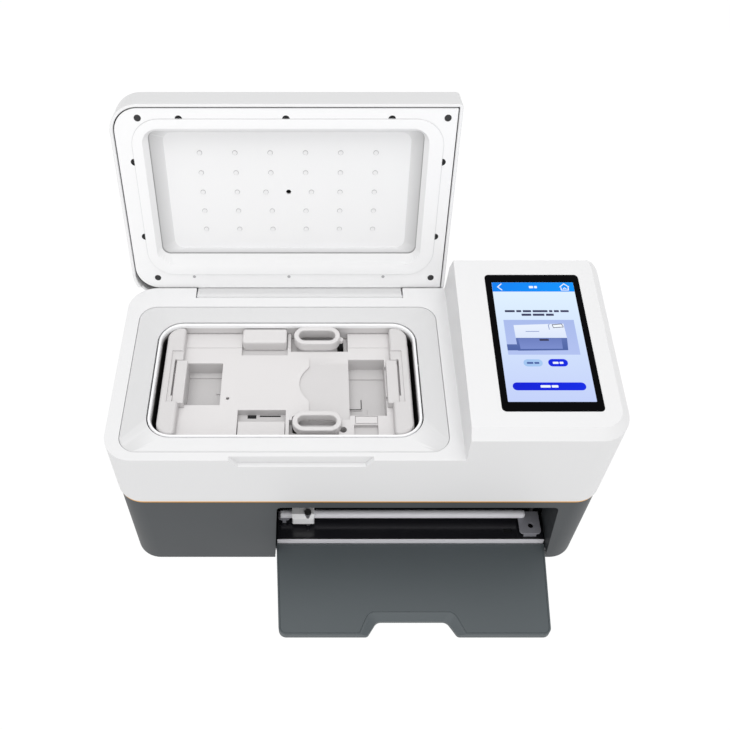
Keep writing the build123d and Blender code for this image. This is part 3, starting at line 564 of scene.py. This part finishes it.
def plastic(name, tone, roughness, drift=0.02, grain=900.0, depth=0.02, coat=0.0, specular=0.5):
    """Moulded plastic with its tone drift and mould grain."""
    values = {"Tone": (*tone, 1), "Drift": drift, "Grain Scale": grain, "Roughness": roughness}
    material, shader = effect_material(name, "moulded", values, depth)
    shader.inputs["Coat Weight"].default_value = coat
    shader.inputs["Specular IOR Level"].default_value = specular
    return material


def metal(name, tone, stretch, contrast, depth=0.01):
    """Drawn or brushed metal."""
    values = {"Tone": (*tone, 1), "Line Stretch": stretch, "Contrast": contrast}
    material, shader = effect_material(name, "drawn", values, depth)
    shader.inputs["Metallic"].default_value = 1.0
    return material


def lit(name, low, high, axis, start, end, strength):
    """Picture element on the display: a soft run from one colour to another along an axis."""
    material, tree, shader = shaded(name)
    run = remapped(tree, along_axis(tree, axis), start * MM, end * MM)
    tree.links.new(coloured(tree, run, ((0.0, low), (1.0, high))), shader.inputs["Emission Color"])
    shader.inputs["Emission Strength"].default_value = strength
    shader.inputs["Base Color"].default_value = (0.0, 0.0, 0.0, 1)
    shader.inputs["Roughness"].default_value = 0.5
    shader.inputs["Specular IOR Level"].default_value = 0.1
    return material


TUB_MIDDLE_X = 147.0
TUB_DARK_FROM_MIDDLE = (105.0, 110.5)
TUB_DARK_HEIGHTS = (163.5, 158.0)
TUB_BLACK = (0.004, 0.004, 0.004)


def tub_material(tone):
    """White tub whose two end walls fall away into black towards the bottom."""
    material, tree, shader = shaded("Tub White To Black")
    from_middle = math_node(tree, "SUBTRACT", along_axis(tree, "X"), at(TUB_MIDDLE_X, 0, 0).x)
    away = math_node(tree, "ABSOLUTE", from_middle)
    ends = remapped(tree, away, *(reach * MM for reach in TUB_DARK_FROM_MIDDLE))
    depth = remapped(tree, along_axis(tree, "Z"), *(at(0, 0, z).z for z in TUB_DARK_HEIGHTS))
    dark = math_node(tree, "MULTIPLY", ends, depth)
    colour = coloured(tree, dark, ((0.0, tone), (0.9, TUB_BLACK)))
    tree.links.new(colour, shader.inputs["Base Color"])
    shader.inputs["Roughness"].default_value = 0.5
    return material


GROUPS = {}
FINISH = {}


# ---------------------------------------------------------------- what a user may change
def colour_property(label, about, tone):
    return FloatVectorProperty(name=label, description=about, subtype="COLOR", size=3, default=tone)


class LaminatorFinish(PropertyGroup):
    """Colours of the machine's finishes."""

    shell: colour_property("Shell", "White moulded casing", (0.72, 0.72, 0.725))
    chamber: colour_property("Chamber", "Warm white platform and jaws", (0.655, 0.64, 0.64))
    lid: colour_property("Lid", "White lid shell and its lining", (0.84, 0.84, 0.845))
    base: colour_property("Base", "Slate grey base", (0.047, 0.053, 0.058))
    door: colour_property("Door", "Drop-down film door", (0.080, 0.094, 0.101))
    trim: colour_property("Trim", "Gold band round the seam", (0.72, 0.34, 0.035))


class LaminatorSizes(PropertyGroup):
    """Size and brightness that the moulded casing and the display follow."""

    easing: FloatProperty(
        name="Edge rounding",
        description="Radius on the casing's edges",
        default=1.2 * MM,
        unit="LENGTH",
    )
    backlight: FloatProperty(
        name="Backlight", description="Brightness of the display", default=1.0, min=0.0
    )


def finish_props():
    """The scene's own colours of the finishes."""
    return bpy.context.scene.laminator_finish


def size_props():
    """The scene's own sizes and brightness."""
    return bpy.context.scene.laminator_sizes


# ---------------------------------------------------------------- finishes
PANEL_Z = 182.4
# Painted shade: grey stops by height in the lid's dish and the platform's pockets, and by facing on
# the surround's slopes.
PLATE_SHADE_HEIGHTS = (173.4, PANEL_Z)
PLATE_SHADE_STOPS = ((0.0, 0.30), (0.15, 0.36), (0.22, 0.76), (0.85, 0.95), (0.97, 1.0))
SURROUND_SHADE_STOPS = ((0.0, 0.84), (0.5, 0.83), (0.9, 1.0))
PLATFORM_SHADE_HEIGHTS = (139.5, 155.0)
PLATFORM_SHADE_STOPS = ((0.0, 0.82), (0.82, 0.88), (0.875, 0.90), (0.97, 1.0))

# Plastics in one plain tone: finish, material name, tone, roughness, drift, grain, bump depth.
PLAIN_PLASTICS = (
    ("carriage", "Carriage White", (0.92, 0.92, 0.93), 0.35, 0.03, 1200, 0.015),
    ("rim", "Rim Gloss White", (0.88, 0.88, 0.89), 0.16, 0.01, 700, 0.004, 0.4),
    ("black", "Black Gloss", (0.012, 0.012, 0.015), 0.18, 0.2, 500, 0.004),
    ("dark", "Dark Coated Metal", (0.02, 0.02, 0.022), 0.5, 0.15, 900, 0.02),
    # mark and faint are greys of painted shade, for rings, spots and lines on the lid's inner
    # faces.
    ("mark", "Lid Mark Grey", (0.42, 0.42, 0.43), 0.5, 0.1, 900, 0.01),
    ("faint", "Lid Faint Line", (0.72, 0.72, 0.73), 0.5, 0.1, 900, 0.01),
    # gap is a near black that paints deep shade, for holes, slits and parts seen only in shadow.
    ("gap", "Deep Shade", (0.006, 0.006, 0.007), 0.8, 0.2, 600, 0.01),
    ("rubber", "Black Rubber", (0.018, 0.018, 0.018), 0.75, 0.2, 1800, 0.03),
    ("board", "Circuit Green", (0.015, 0.11, 0.05), 0.35, 0.2, 1500, 0.02),
    ("bracket", "Bracket Grey", (0.27, 0.27, 0.30), 0.35, 0.1, 1100, 0.02),
    ("rod", "Ground Rod", (0.86, 0.85, 0.89), 0.3, 0.08, 1500, 0.006),
)


def tinted(colour, factor):
    """Colour property made lighter or darker by a factor."""
    return tuple(factor * channel for channel in colour)


class LAMINATOR_OT_finishes(Operator):
    """Makes the shared surface effects and every finish."""

    bl_idname = "laminator.finishes"
    bl_label = "Finishes"

    def execute(self, context):
        props = finish_props()
        shell, chamber, lid = props.shell, props.chamber, props.lid
        GROUPS["moulded"] = moulded_skin_group()
        GROUPS["drawn"] = drawn_lines_group()
        for finish, *values in PLAIN_PLASTICS:
            FINISH[finish] = plastic(*values)
        FINISH["shell"] = plastic("Casing White", shell, 0.38, 0.015, 1400, 0.012)
        # Painted shade: the surround's back and side slopes are greyed, and its front slope is left
        # light.
        surround = plastic("Surround White", tinted(shell, 1.02), 0.42, 0.02, 1400, 0.012)
        FINISH["surround"] = shade_painted_along(surround, "Normal", (0, 1, 0), -0.1, 0.1, SURROUND_SHADE_STOPS)
        # Painted shade: the lid, its liner and the pressure plate are greyed on faces that look
        # left, right and up, and the plate also by height in its dish, set for the open lid.
        cover = plastic("Lid White", lid, 0.40, 0.015, 1400, 0.012)
        FINISH["lid"] = shade_painted_by_facing(cover, 0.95, 0.95, 0.76)
        liner = plastic("Liner White", tinted(lid, 1.06), 0.42, 0.015, 1400, 0.012)
        FINISH["liner"] = shade_painted_by_facing(liner, 0.88, 0.90, 0.66)
        plate = plastic("Pressure Plate White", tinted(lid, 1.05), 0.42, 0.015, 1400, 0.012)
        shade_painted_by_facing(plate, 0.84, 0.86, 0.82)
        FINISH["plate"] = shade_painted_by_height(plate, opened_lid(), *PLATE_SHADE_HEIGHTS, PLATE_SHADE_STOPS)
        # Painted shade: the platform is greyed by height, darker down in its pockets.
        platform = plastic("Platform Warm White", chamber, 0.45, 0.03, 1200, 0.015)
        upright = Matrix.Identity(4)
        FINISH["platform"] = shade_painted_by_height(platform, upright, *PLATFORM_SHADE_HEIGHTS, PLATFORM_SHADE_STOPS)
        for finish, name, factor in (
            ("chamber", "Clamp Warm White", 0.97),
            ("jaw", "Jaw Warm White", 0.90),
        ):
            FINISH[finish] = plastic(name, tinted(chamber, factor), 0.45, 0.03, 1200, 0.015)
        FINISH["grip"] = plastic("Grip Pad", tinted(chamber, 0.92), 0.7, 0.04, 2200, 0.03)
        FINISH["tub"] = tub_material(chamber)
        # Painted shade: the base's faces that look left are greyed most, and those that look right
        # a little.
        slate = plastic("Base Slate", props.base, 0.5, 0.05, 1600, 0.03, 0.0, 0.4)
        FINISH["base"] = shade_painted_by_facing(slate, 0.80, 0.95, 1.0)
        FINISH["door"] = plastic("Door Slate", props.door, 0.5, 0.05, 1500, 0.02, 0.0, 0.35)
        FINISH["gold"] = plastic("Trim Gold", props.trim, 0.3, 0.06, 900, 0.01)
        steel_lines = (30.0, 900.0, 900.0)
        FINISH["steel"] = metal("Drawn Steel", (0.55, 0.55, 0.57), steel_lines, 0.2)
        cast_grain = (500.0, 500.0, 500.0)
        FINISH["aluminium"] = metal("Cast Aluminium", (0.7, 0.7, 0.72), cast_grain, 0.12)
        return {"FINISHED"}


# ---------------------------------------------------------------- casing
class LAMINATOR_OT_casing(Operator):
    """Base, trim, feet and the white upper moulding with the console."""

    bl_idname = "laminator.casing"
    bl_label = "Casing"

    def execute(self, context):
        eased_stand_in("upper_shell", "housing", "shell", size_props().easing / MM, 4)
        eased_stand_in("base_shell", "housing", "base", 0.7)
        eased_stand_in("feet", "housing", "rubber", 0.5)
        paint_nodes({"gold_trim_band": "gold"})
        return {"FINISHED"}


RIM_BOX = (31.5, 262.5, 24.0, 149.5)
RIM_R = 22.0
RIM_CORNER_STEPS = 14
RIM_SHARP_DEG = 50
RIM_PROFILE = (
    (3.45, 163.1),
    (0.6, 163.1),
    (0.6, 165.2),
    (0.8, 166.2),
    (1.2, 166.95),
    (1.75, 167.3),
    (2.3, 167.25),
    (2.8, 166.8),
    (3.2, 165.9),
    (3.4, 164.8),
)


class LAMINATOR_OT_chamber_mouth(Operator):
    """White dish and bright rim round the chamber, and the tub inside it."""

    bl_idname = "laminator.chamber_mouth"
    bl_label = "Chamber Mouth"

    def execute(self, context):
        eased_stand_in("chamber_surround", "housing", "surround", 0.5)
        rim = swept_ring("chamber_rim_polished", RIM_BOX, RIM_R, RIM_PROFILE, RIM_CORNER_STEPS)
        smooth(rim, RIM_SHARP_DEG)
        finish_piece(rim, "housing", FINISH["rim"], "chamber_rim")
        eased_stand_in("chamber_tub", "housing", "tub", 0.4)
        return {"FINISHED"}


TAB_POCKET_FLOOR = 147.5
POCKET_SLIT = (124.5, 142.5, 58.2, 59.7)
POCKET_CATCH = (114.0, 121.6, 56.4, 60.1)
RIGHT_POCKET_FLOOR = 139.5
RIGHT_STEP_TOP = 140.7
# Painted shade: a dark line along the edge of the right pocket's raised step.
STEP_SHADE_LINE = [(202.2, 70.9), (211.6, 70.9), (212.5, 71.8), (212.5, 81.4)]
STEP_SHADE_LINE_WIDTH = 0.8
FINGER_HOLE = (195.8, 39.9)
FINGER_HOLE_R = 2.9
INLAY_THICKNESS = 0.06


def platform_inlay(name, outlines, finish, z):
    """Thin dark shape of painted shade lying in the platform at a height."""
    material, slot = FINISH[finish], "warm_white_plastic"
    sticker(name, outlines, 0.0, material, level_place(z), INLAY_THICKNESS, "housing")


class LAMINATOR_OT_platform(Operator):
    """Phone platform with its jaws, stop tabs and finger rings."""

    bl_idname = "laminator.platform"
    bl_label = "Phone Platform"

    def execute(self, context):
        eased_stand_in("phone_platform", "housing", "platform", 0.35)
        for side in ("left", "right"):
            body = side + "_jaw_slide"
            eased_stand_in(side + "_jaw", body, "jaw", 0.6)
            eased_stand_in(side + "_jaw_pad", body, "grip", 0.4)
        for side in ("back", "front"):
            for part in ("_finger_ring", "_stop_tab"):
                eased_stand_in(side + part, side + "_clamp", "chamber", 0.5)
        # The clamp slides, seen only in shadow through the platform, get the near-black painted
        # deep shade.
        paint_nodes(
            {"platform_posts": "aluminium", "back_clamp_slide": "gap", "front_clamp_slide": "gap"}
        )
        # Painted shade: black in the front pocket's slit and catch.
        slit = [box_outline(*POCKET_SLIT), box_outline(*POCKET_CATCH)]
        platform_inlay("front_pocket_slit_shade", slit, "gap", TAB_POCKET_FLOOR)
        # Painted shade: a black disc at the finger hole's bottom.
        hole = [circle(*FINGER_HOLE, FINGER_HOLE_R)]
        platform_inlay("finger_hole_shade_disc", hole, "gap", RIGHT_POCKET_FLOOR)
        # Painted shade: a line in the dark metal finish along the right pocket's step edge.
        line = drawn_line(STEP_SHADE_LINE, STEP_SHADE_LINE_WIDTH)
        platform_inlay("right_pocket_shade_line", line, "dark", RIGHT_STEP_TOP)
        return {"FINISHED"}


# ---------------------------------------------------------------- lid
PORT = (148.7, 85.3)
BOSS_PITCH = (30.2, 18.6)
BOSS_COLUMNS = 6
BOSS_ROWS = range(-2, 3)
BOSS_SHADE_RADII = (2.25, 1.92)
MIDDLE_SPREAD = 1.33
NEAR_PORT = 16
LINER_FACE_Z = 170.4
BAND_HOLES = (
    (60.3, 12.8),
    (148.3, 12.8),
    (235.3, 12.8),
    (19.2, 51.0),
    (19.2, 123.5),
    (279.6, 51.0),
    (279.6, 123.5),
)
BAND_HOLE_R = 3.1
BAND_SHADE_SPOTS = ((59.5, 166.3), (147.5, 166.3), (235.0, 166.3))
BAND_SHADE_SPOT_R = 1.5
BAND = (19.1, 279.7, 12.5, 163.8)
BAND_R = 24.3
BAND_SHADE_LINE_WIDTH = 0.4
LID_INLAY_HEIGHT = -0.07  # the lid's inner faces look down when it is shut


def boss_spots():
    """Middles of the bosses on the shut lid: the middle row makes room for the air port."""
    spots = []
    for row in BOSS_ROWS:
        for column in range(BOSS_COLUMNS):
            away = BOSS_PITCH[0] * (column - (BOSS_COLUMNS - 1) / 2)
            if row == 0 and abs(away) < NEAR_PORT:
                away *= MIDDLE_SPREAD
            spots.append((PORT[0] + away, PORT[1] + BOSS_PITCH[1] * row))
    return spots


def lid_inlay(name, outlines, finish, z):
    """Thin shape of painted shade on an inner face of the open lid, the face's height given with
    the lid shut.
    """
    place = opened_lid() @ level_place(z)
    material, slot = FINISH[finish], "white_shell"
    sticker(name, outlines, LID_INLAY_HEIGHT, material, place, INLAY_THICKNESS, "lid")


class LAMINATOR_OT_lid(Operator):
    """Open lid: shell, liner with its seal band, dished panel, bosses, screws and knuckle."""

    bl_idname = "laminator.lid"
    bl_label = "Lid"

    def execute(self, context):
        eased_stand_in("lid_shell", "lid", "lid", 0.9)
        eased_stand_in("lid_liner", "lid", "liner", 0.35)
        eased_stand_in("pressure_plate", "lid", "plate", 0.35)
        # Painted shade: grey rings round the feet of the bosses.
        rings = [circle(x, y, r) for x, y in boss_spots() for r in BOSS_SHADE_RADII]
        lid_inlay("boss_shade_rings", rings, "mark", PANEL_Z)
        # Painted shade: black discs in the band's holes.
        holes = [circle(x, y, BAND_HOLE_R) for x, y in BAND_HOLES]
        lid_inlay("band_hole_shades", holes, "gap", LINER_FACE_Z)
        # Painted shade: grey spots along the band's edge, across from its row of holes.
        marks = [circle(x, y, BAND_SHADE_SPOT_R) for x, y in BAND_SHADE_SPOTS]
        lid_inlay("band_shade_spots", marks, "mark", LINER_FACE_Z)
        # Painted shade: a faint grey line along the band's edge.
        edge = drawn_loop(rounded_points(*BAND, BAND_R), BAND_SHADE_LINE_WIDTH)
        lid_inlay("band_edge_shade_line", edge, "faint", LINER_FACE_Z)
        eased_stand_in("hinge_knuckle", "lid", "liner", 0.4)
        # The air port fitting is painted deep shade, so that the port reads as a black hole.
        paint_nodes(
            {
                "pressure_plate_bosses": "lid",
                "lid_screws": "dark",
                "air_port_fitting": "gap",
                "hinge_pins": "steel",
            }
        )
        return {"FINISHED"}


# ---------------------------------------------------------------- film slot
DOOR_GROOVE_INSET = 1.3
DOOR_GROOVE_WIDTH = 0.7
DOOR_GROOVE_DEPTH = 0.35


class LAMINATOR_OT_door(Operator):
    """Drop-down film door."""

    bl_idname = "laminator.door"
    bl_label = "Film Door"

    def execute(self, context):
        door = eased("slot_door", 0.8)
        groove_top(door, DOOR_GROOVE_INSET, DOOR_GROOVE_WIDTH, DOOR_GROOVE_DEPTH)
        finish_piece(door, "door", FINISH["door"], "slot_door")
        paint_nodes({"door_hinge_pins": "steel"})
        return {"FINISHED"}


class LAMINATOR_OT_cutter(Operator):
    """Everything seen through the film slot."""

    bl_idname = "laminator.cutter"
    bl_label = "Film Cutter"

    def execute(self, context):
        # The cutter's rear cover is painted deep shade, as the back of the slot lies in shadow.
        paint_nodes(
            {
                "slot_liner": "base",
                "cutting_bed": "black",
                "bed_edge_strip": "rod",
                "left_cheek_plate": "dark",
                "right_cheek_plate": "dark",
                "guide_rod": "rod",
                "feed_roller": "rubber",
                "pinch_roller": "rubber",
                "feed_motor": "dark",
                "carriage_motor": "dark",
                "cutter_rear_cover": "gap",
                "motor_bridge": "dark",
                "blade_holder": "steel",
            }
        )
        eased_stand_in("blade_carriage", "carriage", "carriage", 0.8)
        for side in ("left", "right"):
            eased_stand_in(side + "_rod_bracket", "housing", "bracket", 0.35)
        return {"FINISHED"}


class LAMINATOR_OT_insides(Operator):
    """Parts that only show when the casing is off, and the sockets at the back."""

    bl_idname = "laminator.insides"
    bl_label = "Insides"

    def execute(self, context):
        paint_nodes(
            {
                "chassis_plate": "steel",
                "display_module": "dark",
                "display_frame": "black",
                "power_supply": "aluminium",
                "pump_motor": "dark",
                "pump_head": "black",
                "pump_cradle": "rubber",
                "air_valve": "black",
                "control_board": "board",
                "board_posts": "steel",
                "board_components": "black",
                "power_inlet": "black",
                "switch_housing": "black",
                "power_rocker": "black",
            }
        )
        return {"FINISHED"}


# ---------------------------------------------------------------- display
GLASS_SLOPE = math.radians(5.954)
GLASS_HALF_THICKNESS = 0.8
LIT_HALF_WIDTH = 34.95
LIT_HALF_HEIGHT = 59.5
LIT_CORNER_R = 0.6
PAGE_HEIGHT = 0.02
LAYER_STEP = 0.03  # each mark is as thick as its layer


def glass_place():
    """Frame on the glass: origin at its middle, X across, Y up the screen, Z out of it."""
    low, high = span("touch_screen_glass")
    middle = Matrix.Translation((low + high) / 2)
    lift = Matrix.Translation((0, 0, GLASS_HALF_THICKNESS * MM))
    return middle @ Matrix.Rotation(GLASS_SLOPE, 4, "X") @ lift


def screen_mark(name, outlines, height, material, place):
    """Lit shape at a height over the glass."""
    sticker(name, outlines, height, material, place, LAYER_STEP, "housing")


# Colours of the control page: name, two tones, the axis that they run along, start and end.
WIDE = ("X", -LIT_HALF_WIDTH, LIT_HALF_WIDTH)
TALL = ("Y", -LIT_HALF_HEIGHT, LIT_HALF_HEIGHT)
PAGE_COLOURS = {
    "page": ("Page Wash", (0.55, 0.64, 0.96), (0.76, 0.90, 1.0), *TALL),
    "header": ("Header Blue", (0.0, 0.22, 0.90), (0.0, 0.30, 1.0), *WIDE),
    "white": ("Icon White", (0.80, 0.90, 1.0), (0.95, 0.98, 1.0), *WIDE),
    "ink": ("Caption Ink", (0.03, 0.035, 0.09), (0.05, 0.05, 0.12), *WIDE),
    "card": ("Picture Card", (0.50, 0.58, 0.92), (0.40, 0.50, 0.84), "Y", -LIT_HALF_HEIGHT, 20),
    "slate": ("Picture Slate", (0.07, 0.12, 0.36), (0.13, 0.19, 0.48), "Y", -12, 8),
    "haze": ("Picture Haze", (0.20, 0.27, 0.62), (0.15, 0.21, 0.52), "Y", -10, 1),
    "pearl": ("Picture Pearl", (0.72, 0.80, 0.97), (0.82, 0.88, 0.99), "Y", 0.0, 16),
    "pale": ("Pale Button", (0.32, 0.52, 0.86), (0.40, 0.60, 0.90), "X", -LIT_HALF_WIDTH, 0.0),
    "deep": ("Deep Button", (0.0, 0.008, 0.66), (0.0, 0.02, 0.80), *WIDE),
}

# Control page: every mark as (name, outlines, colour, layer), millimetres from the glass's middle.
HOME_ROOF = [(22.9, 54.4), (26.9, 58.0), (30.9, 54.4)]
HOME_WALLS = [(23.9, 54.2), (23.9, 51.2), (30.0, 51.2), (30.0, 54.2)]
FRONT_OUTLINE = [(-21.3, 1.5), (20.9, 1.5), (20.0, -10.7), (-20.9, -11.2)]
ROOF_OUTLINE = [(-21.6, 14.4), (7.9, 15.5), (20.1, 15.8), (20.9, 1.5), (-21.3, 1.5)]
TRAY_OUTLINE = [(-29.4, -4.9), (-21.2, -4.9), (-20.8, -10.9), (-29.4, -10.9)]
GLOW_OUTLINE = [(-19.5, 0.9), (16.2, 0.9), (15.8, -9.3), (-18.7, -9.5)]
PAGE_MARKS = (
    ("page_header", [box_outline(-34.9, 34.9, 49.6, 59.45)], "header", 1),
    ("back_chevron", drawn_line([(-26.7, 58.1), (-30.2, 54.6), (-26.7, 51.1)], 0.9), "white", 2),
    ("home_roof", drawn_line(HOME_ROOF, 0.8), "white", 2),
    ("home_walls", drawn_line(HOME_WALLS, 0.8), "white", 2),
    ("home_door", drawn_line([(25.4, 52.4), (26.9, 53.6), (28.4, 52.4)], 0.7), "white", 2),
    ("header_bar", word_bars(-3.5, 3.4, 53.2, 55.6, (3, 2)), "white", 2),
    ("caption_upper", word_bars(-27.1, 26.6, 27.8, 29.9, (6, 3, 5, 9, 2, 3, 5), 1.3), "ink", 1),
    ("caption_lower", word_bars(-13.5, 13.5, 24.0, 26.2, (5, 6, 4), 1.3), "ink", 1),
    ("picture_card", [box_outline(-29.4, 29.3, -15.1, 19.8)], "card", 1),
    ("picture_tray", [TRAY_OUTLINE], "slate", 2),
    ("picture_front", [FRONT_OUTLINE], "slate", 2),
    ("picture_front_glow", [GLOW_OUTLINE], "haze", 3),
    ("picture_roof", [ROOF_OUTLINE], "pearl", 3),
    ("picture_screen", [[(10.9, 14.4), (18.2, 15.2), (19.2, 12.7), (11.4, 12.0)]], "white", 5),
    ("picture_bezel", [[(10.3, 15.0), (18.6, 15.9), (19.9, 12.2), (11.0, 11.4)]], "ink", 4),
    ("picture_seam", [box_outline(-12.4, -1.1, 7.7, 8.2)], "slate", 4),
    ("picture_edge", drawn_line([(8.4, 15.2), (7.3, 14.4), (7.6, 9.8)], 0.5), "slate", 4),
    ("picture_slot", [box_outline(-2.1, 5.6, -1.5, 0.5, 0.5)], "ink", 4),
    ("pale_button", [box_outline(-18.1, -2.6, -26.5, -19.6, 3.4)], "pale", 1),
    ("pale_button_bars", word_bars(-15.4, -5.4, -24.0, -22.2, (4, 3)), "slate", 2),
    ("deep_button", [box_outline(1.9, 17.8, -26.5, -19.3, 3.5)], "deep", 1),
    ("deep_button_bars", word_bars(5.6, 14.1, -24.0, -22.0, (3, 2)), "white", 2),
    ("long_button", [box_outline(-29.6, 28.8, -49.0, -41.6, 3.6)], "deep", 1),
    ("long_button_bars", word_bars(-7.4, 6.7, -46.4, -44.2, (3, 2)), "white", 2),
)


def glass_material():
    """Black glass, its gloss broken a little by smudges."""
    material, tree, shader = shaded("Screen Glass Black")
    smudge = tree.nodes.new("ShaderNodeTexNoise")
    smudge.inputs["Scale"].default_value = 60.0
    gloss = remapped(tree, smudge.outputs["Fac"], 0.0, 1.0, 0.04, 0.10)
    tree.links.new(gloss, shader.inputs["Roughness"])
    shader.inputs["Base Color"].default_value = (0.0015, 0.0015, 0.002, 1)
    shader.inputs["Specular IOR Level"].default_value = 0.04
    return material


class LAMINATOR_OT_display(Operator):
    """Touch screen glass with a generic control page behind it."""

    bl_idname = "laminator.display"
    bl_label = "Display"

    def execute(self, context):
        FINISH["glass"] = glass_material()
        eased_stand_in("touch_screen_glass", "housing", "glass", 0.25)
        power = size_props().backlight
        colours = {key: lit(*values, power) for key, values in PAGE_COLOURS.items()}
        place = glass_place()
        page = box_outline(
            -LIT_HALF_WIDTH, LIT_HALF_WIDTH, -LIT_HALF_HEIGHT, LIT_HALF_HEIGHT, LIT_CORNER_R
        )
        screen_mark("page_background", [page], PAGE_HEIGHT, colours["page"], place)
        for name, outlines, colour, layer in PAGE_MARKS:
            height = PAGE_HEIGHT + LAYER_STEP * layer
            screen_mark(name, outlines, height, colours[colour], place)
        return {"FINISHED"}


# ---------------------------------------------------------------- stage
LENS_MM = 42.42
SENSOR_MM = 36.0
LENS_SHIFT = (0.0641, -0.0016)
CAMERA_SPOT = (174.75, -371.23, 751.77)
CAMERA_TILT_DEG = 51.06
FLOOR_REACH = 6.0
FLOOR_CLEARANCE = 0.0002
WORLD_STRENGTH = 0.7
LAMP_TARGET = (0, 0, 0.12)
LAMPS = (
    ("overhead", (-0.1, -0.2, 2.3), 1.8, 26.0),
    ("front", (0.1, -2.2, 1.2), 1.6, 9.0),
)


def floor_material():
    """Dark diffuse floor that glows, so that it stays pale and even."""
    material, tree, shader = shaded("Studio Floor")
    shader.inputs["Base Color"].default_value = (0.02, 0.02, 0.02, 1)
    shader.inputs["Roughness"].default_value = 1.0
    shader.inputs["Specular IOR Level"].default_value = 0.0
    shader.inputs["Emission Color"].default_value = (1, 1, 1, 1)
    shader.inputs["Emission Strength"].default_value = 1.0
    return material


class LAMINATOR_OT_stage(Operator):
    """Pale floor, soft studio lights and the camera."""

    bl_idname = "laminator.stage"
    bl_label = "Stage"

    def execute(self, context):
        scene = context.scene
        reach = FLOOR_REACH
        corners = [(-reach, -reach, 0), (reach, -reach, 0), (reach, reach, 0), (-reach, reach, 0)]
        floor_mesh = bpy.data.meshes.new("studio_floor")
        floor_mesh.from_pydata(corners, [], [(0, 1, 2, 3)])
        dress(floor_mesh, floor_material())
        floor = new_object("studio_floor", floor_mesh)
        floor.location.z = GROUND - FLOOR_CLEARANCE
        world = bpy.data.worlds.new("studio")
        world.use_nodes = True
        background = world.node_tree.nodes["Background"]
        background.inputs["Color"].default_value = (1, 1, 1, 1)
        background.inputs["Strength"].default_value = WORLD_STRENGTH
        scene.world = world
        for label, spot, size, power in LAMPS:
            data = bpy.data.lights.new(label, "AREA")
            data.size = size
            data.energy = power
            lamp = new_object(label, data)
            lamp.location = spot
            aim = Vector(LAMP_TARGET) - Vector(spot)
            lamp.rotation_euler = aim.to_track_quat("-Z", "Y").to_euler()
        lens = bpy.data.cameras.new("main_camera")
        lens.sensor_width = SENSOR_MM
        lens.lens = LENS_MM
        lens.shift_x, lens.shift_y = LENS_SHIFT
        camera = new_object("main_camera", lens)
        camera.location = at(*CAMERA_SPOT)
        camera.rotation_euler = (math.radians(90 - CAMERA_TILT_DEG), 0, 0)
        scene.camera = camera
        scene.view_settings.view_transform = "Standard"
        return {"FINISHED"}


# ---------------------------------------------------------------- panel and registration
STEPS = (
    LAMINATOR_OT_finishes,
    LAMINATOR_OT_stage,
    LAMINATOR_OT_casing,
    LAMINATOR_OT_chamber_mouth,
    LAMINATOR_OT_platform,
    LAMINATOR_OT_lid,
    LAMINATOR_OT_door,
    LAMINATOR_OT_cutter,
    LAMINATOR_OT_insides,
    LAMINATOR_OT_display,
)


class LAMINATOR_PT_panel(Panel):
    """Lists the machine's pieces and finishes."""

    bl_label = "Laminator"
    bl_idname = "LAMINATOR_PT_panel"
    bl_space_type = "VIEW_3D"
    bl_region_type = "UI"
    bl_category = "Laminator"

    def draw(self, context):
        layout = self.layout
        for props in (finish_props(), size_props()):
            for name in type(props).__annotations__:
                layout.prop(props, name)
        for step in STEPS:
            layout.operator(step.bl_idname)


CLASSES = (LaminatorFinish, LaminatorSizes, *STEPS, LAMINATOR_PT_panel)


def register():
    for cls in CLASSES:
        bpy.utils.register_class(cls)
    bpy.types.Scene.laminator_finish = PointerProperty(type=LaminatorFinish)
    bpy.types.Scene.laminator_sizes = PointerProperty(type=LaminatorSizes)


def unregister():
    del bpy.types.Scene.laminator_sizes
    del bpy.types.Scene.laminator_finish
    for cls in reversed(CLASSES):
        bpy.utils.unregister_class(cls)


def main():
    register()
    for step in STEPS:
        group, name = step.bl_idname.split(".")
        getattr(getattr(bpy.ops, group), name)()


if __name__ == "__main__":
    main()
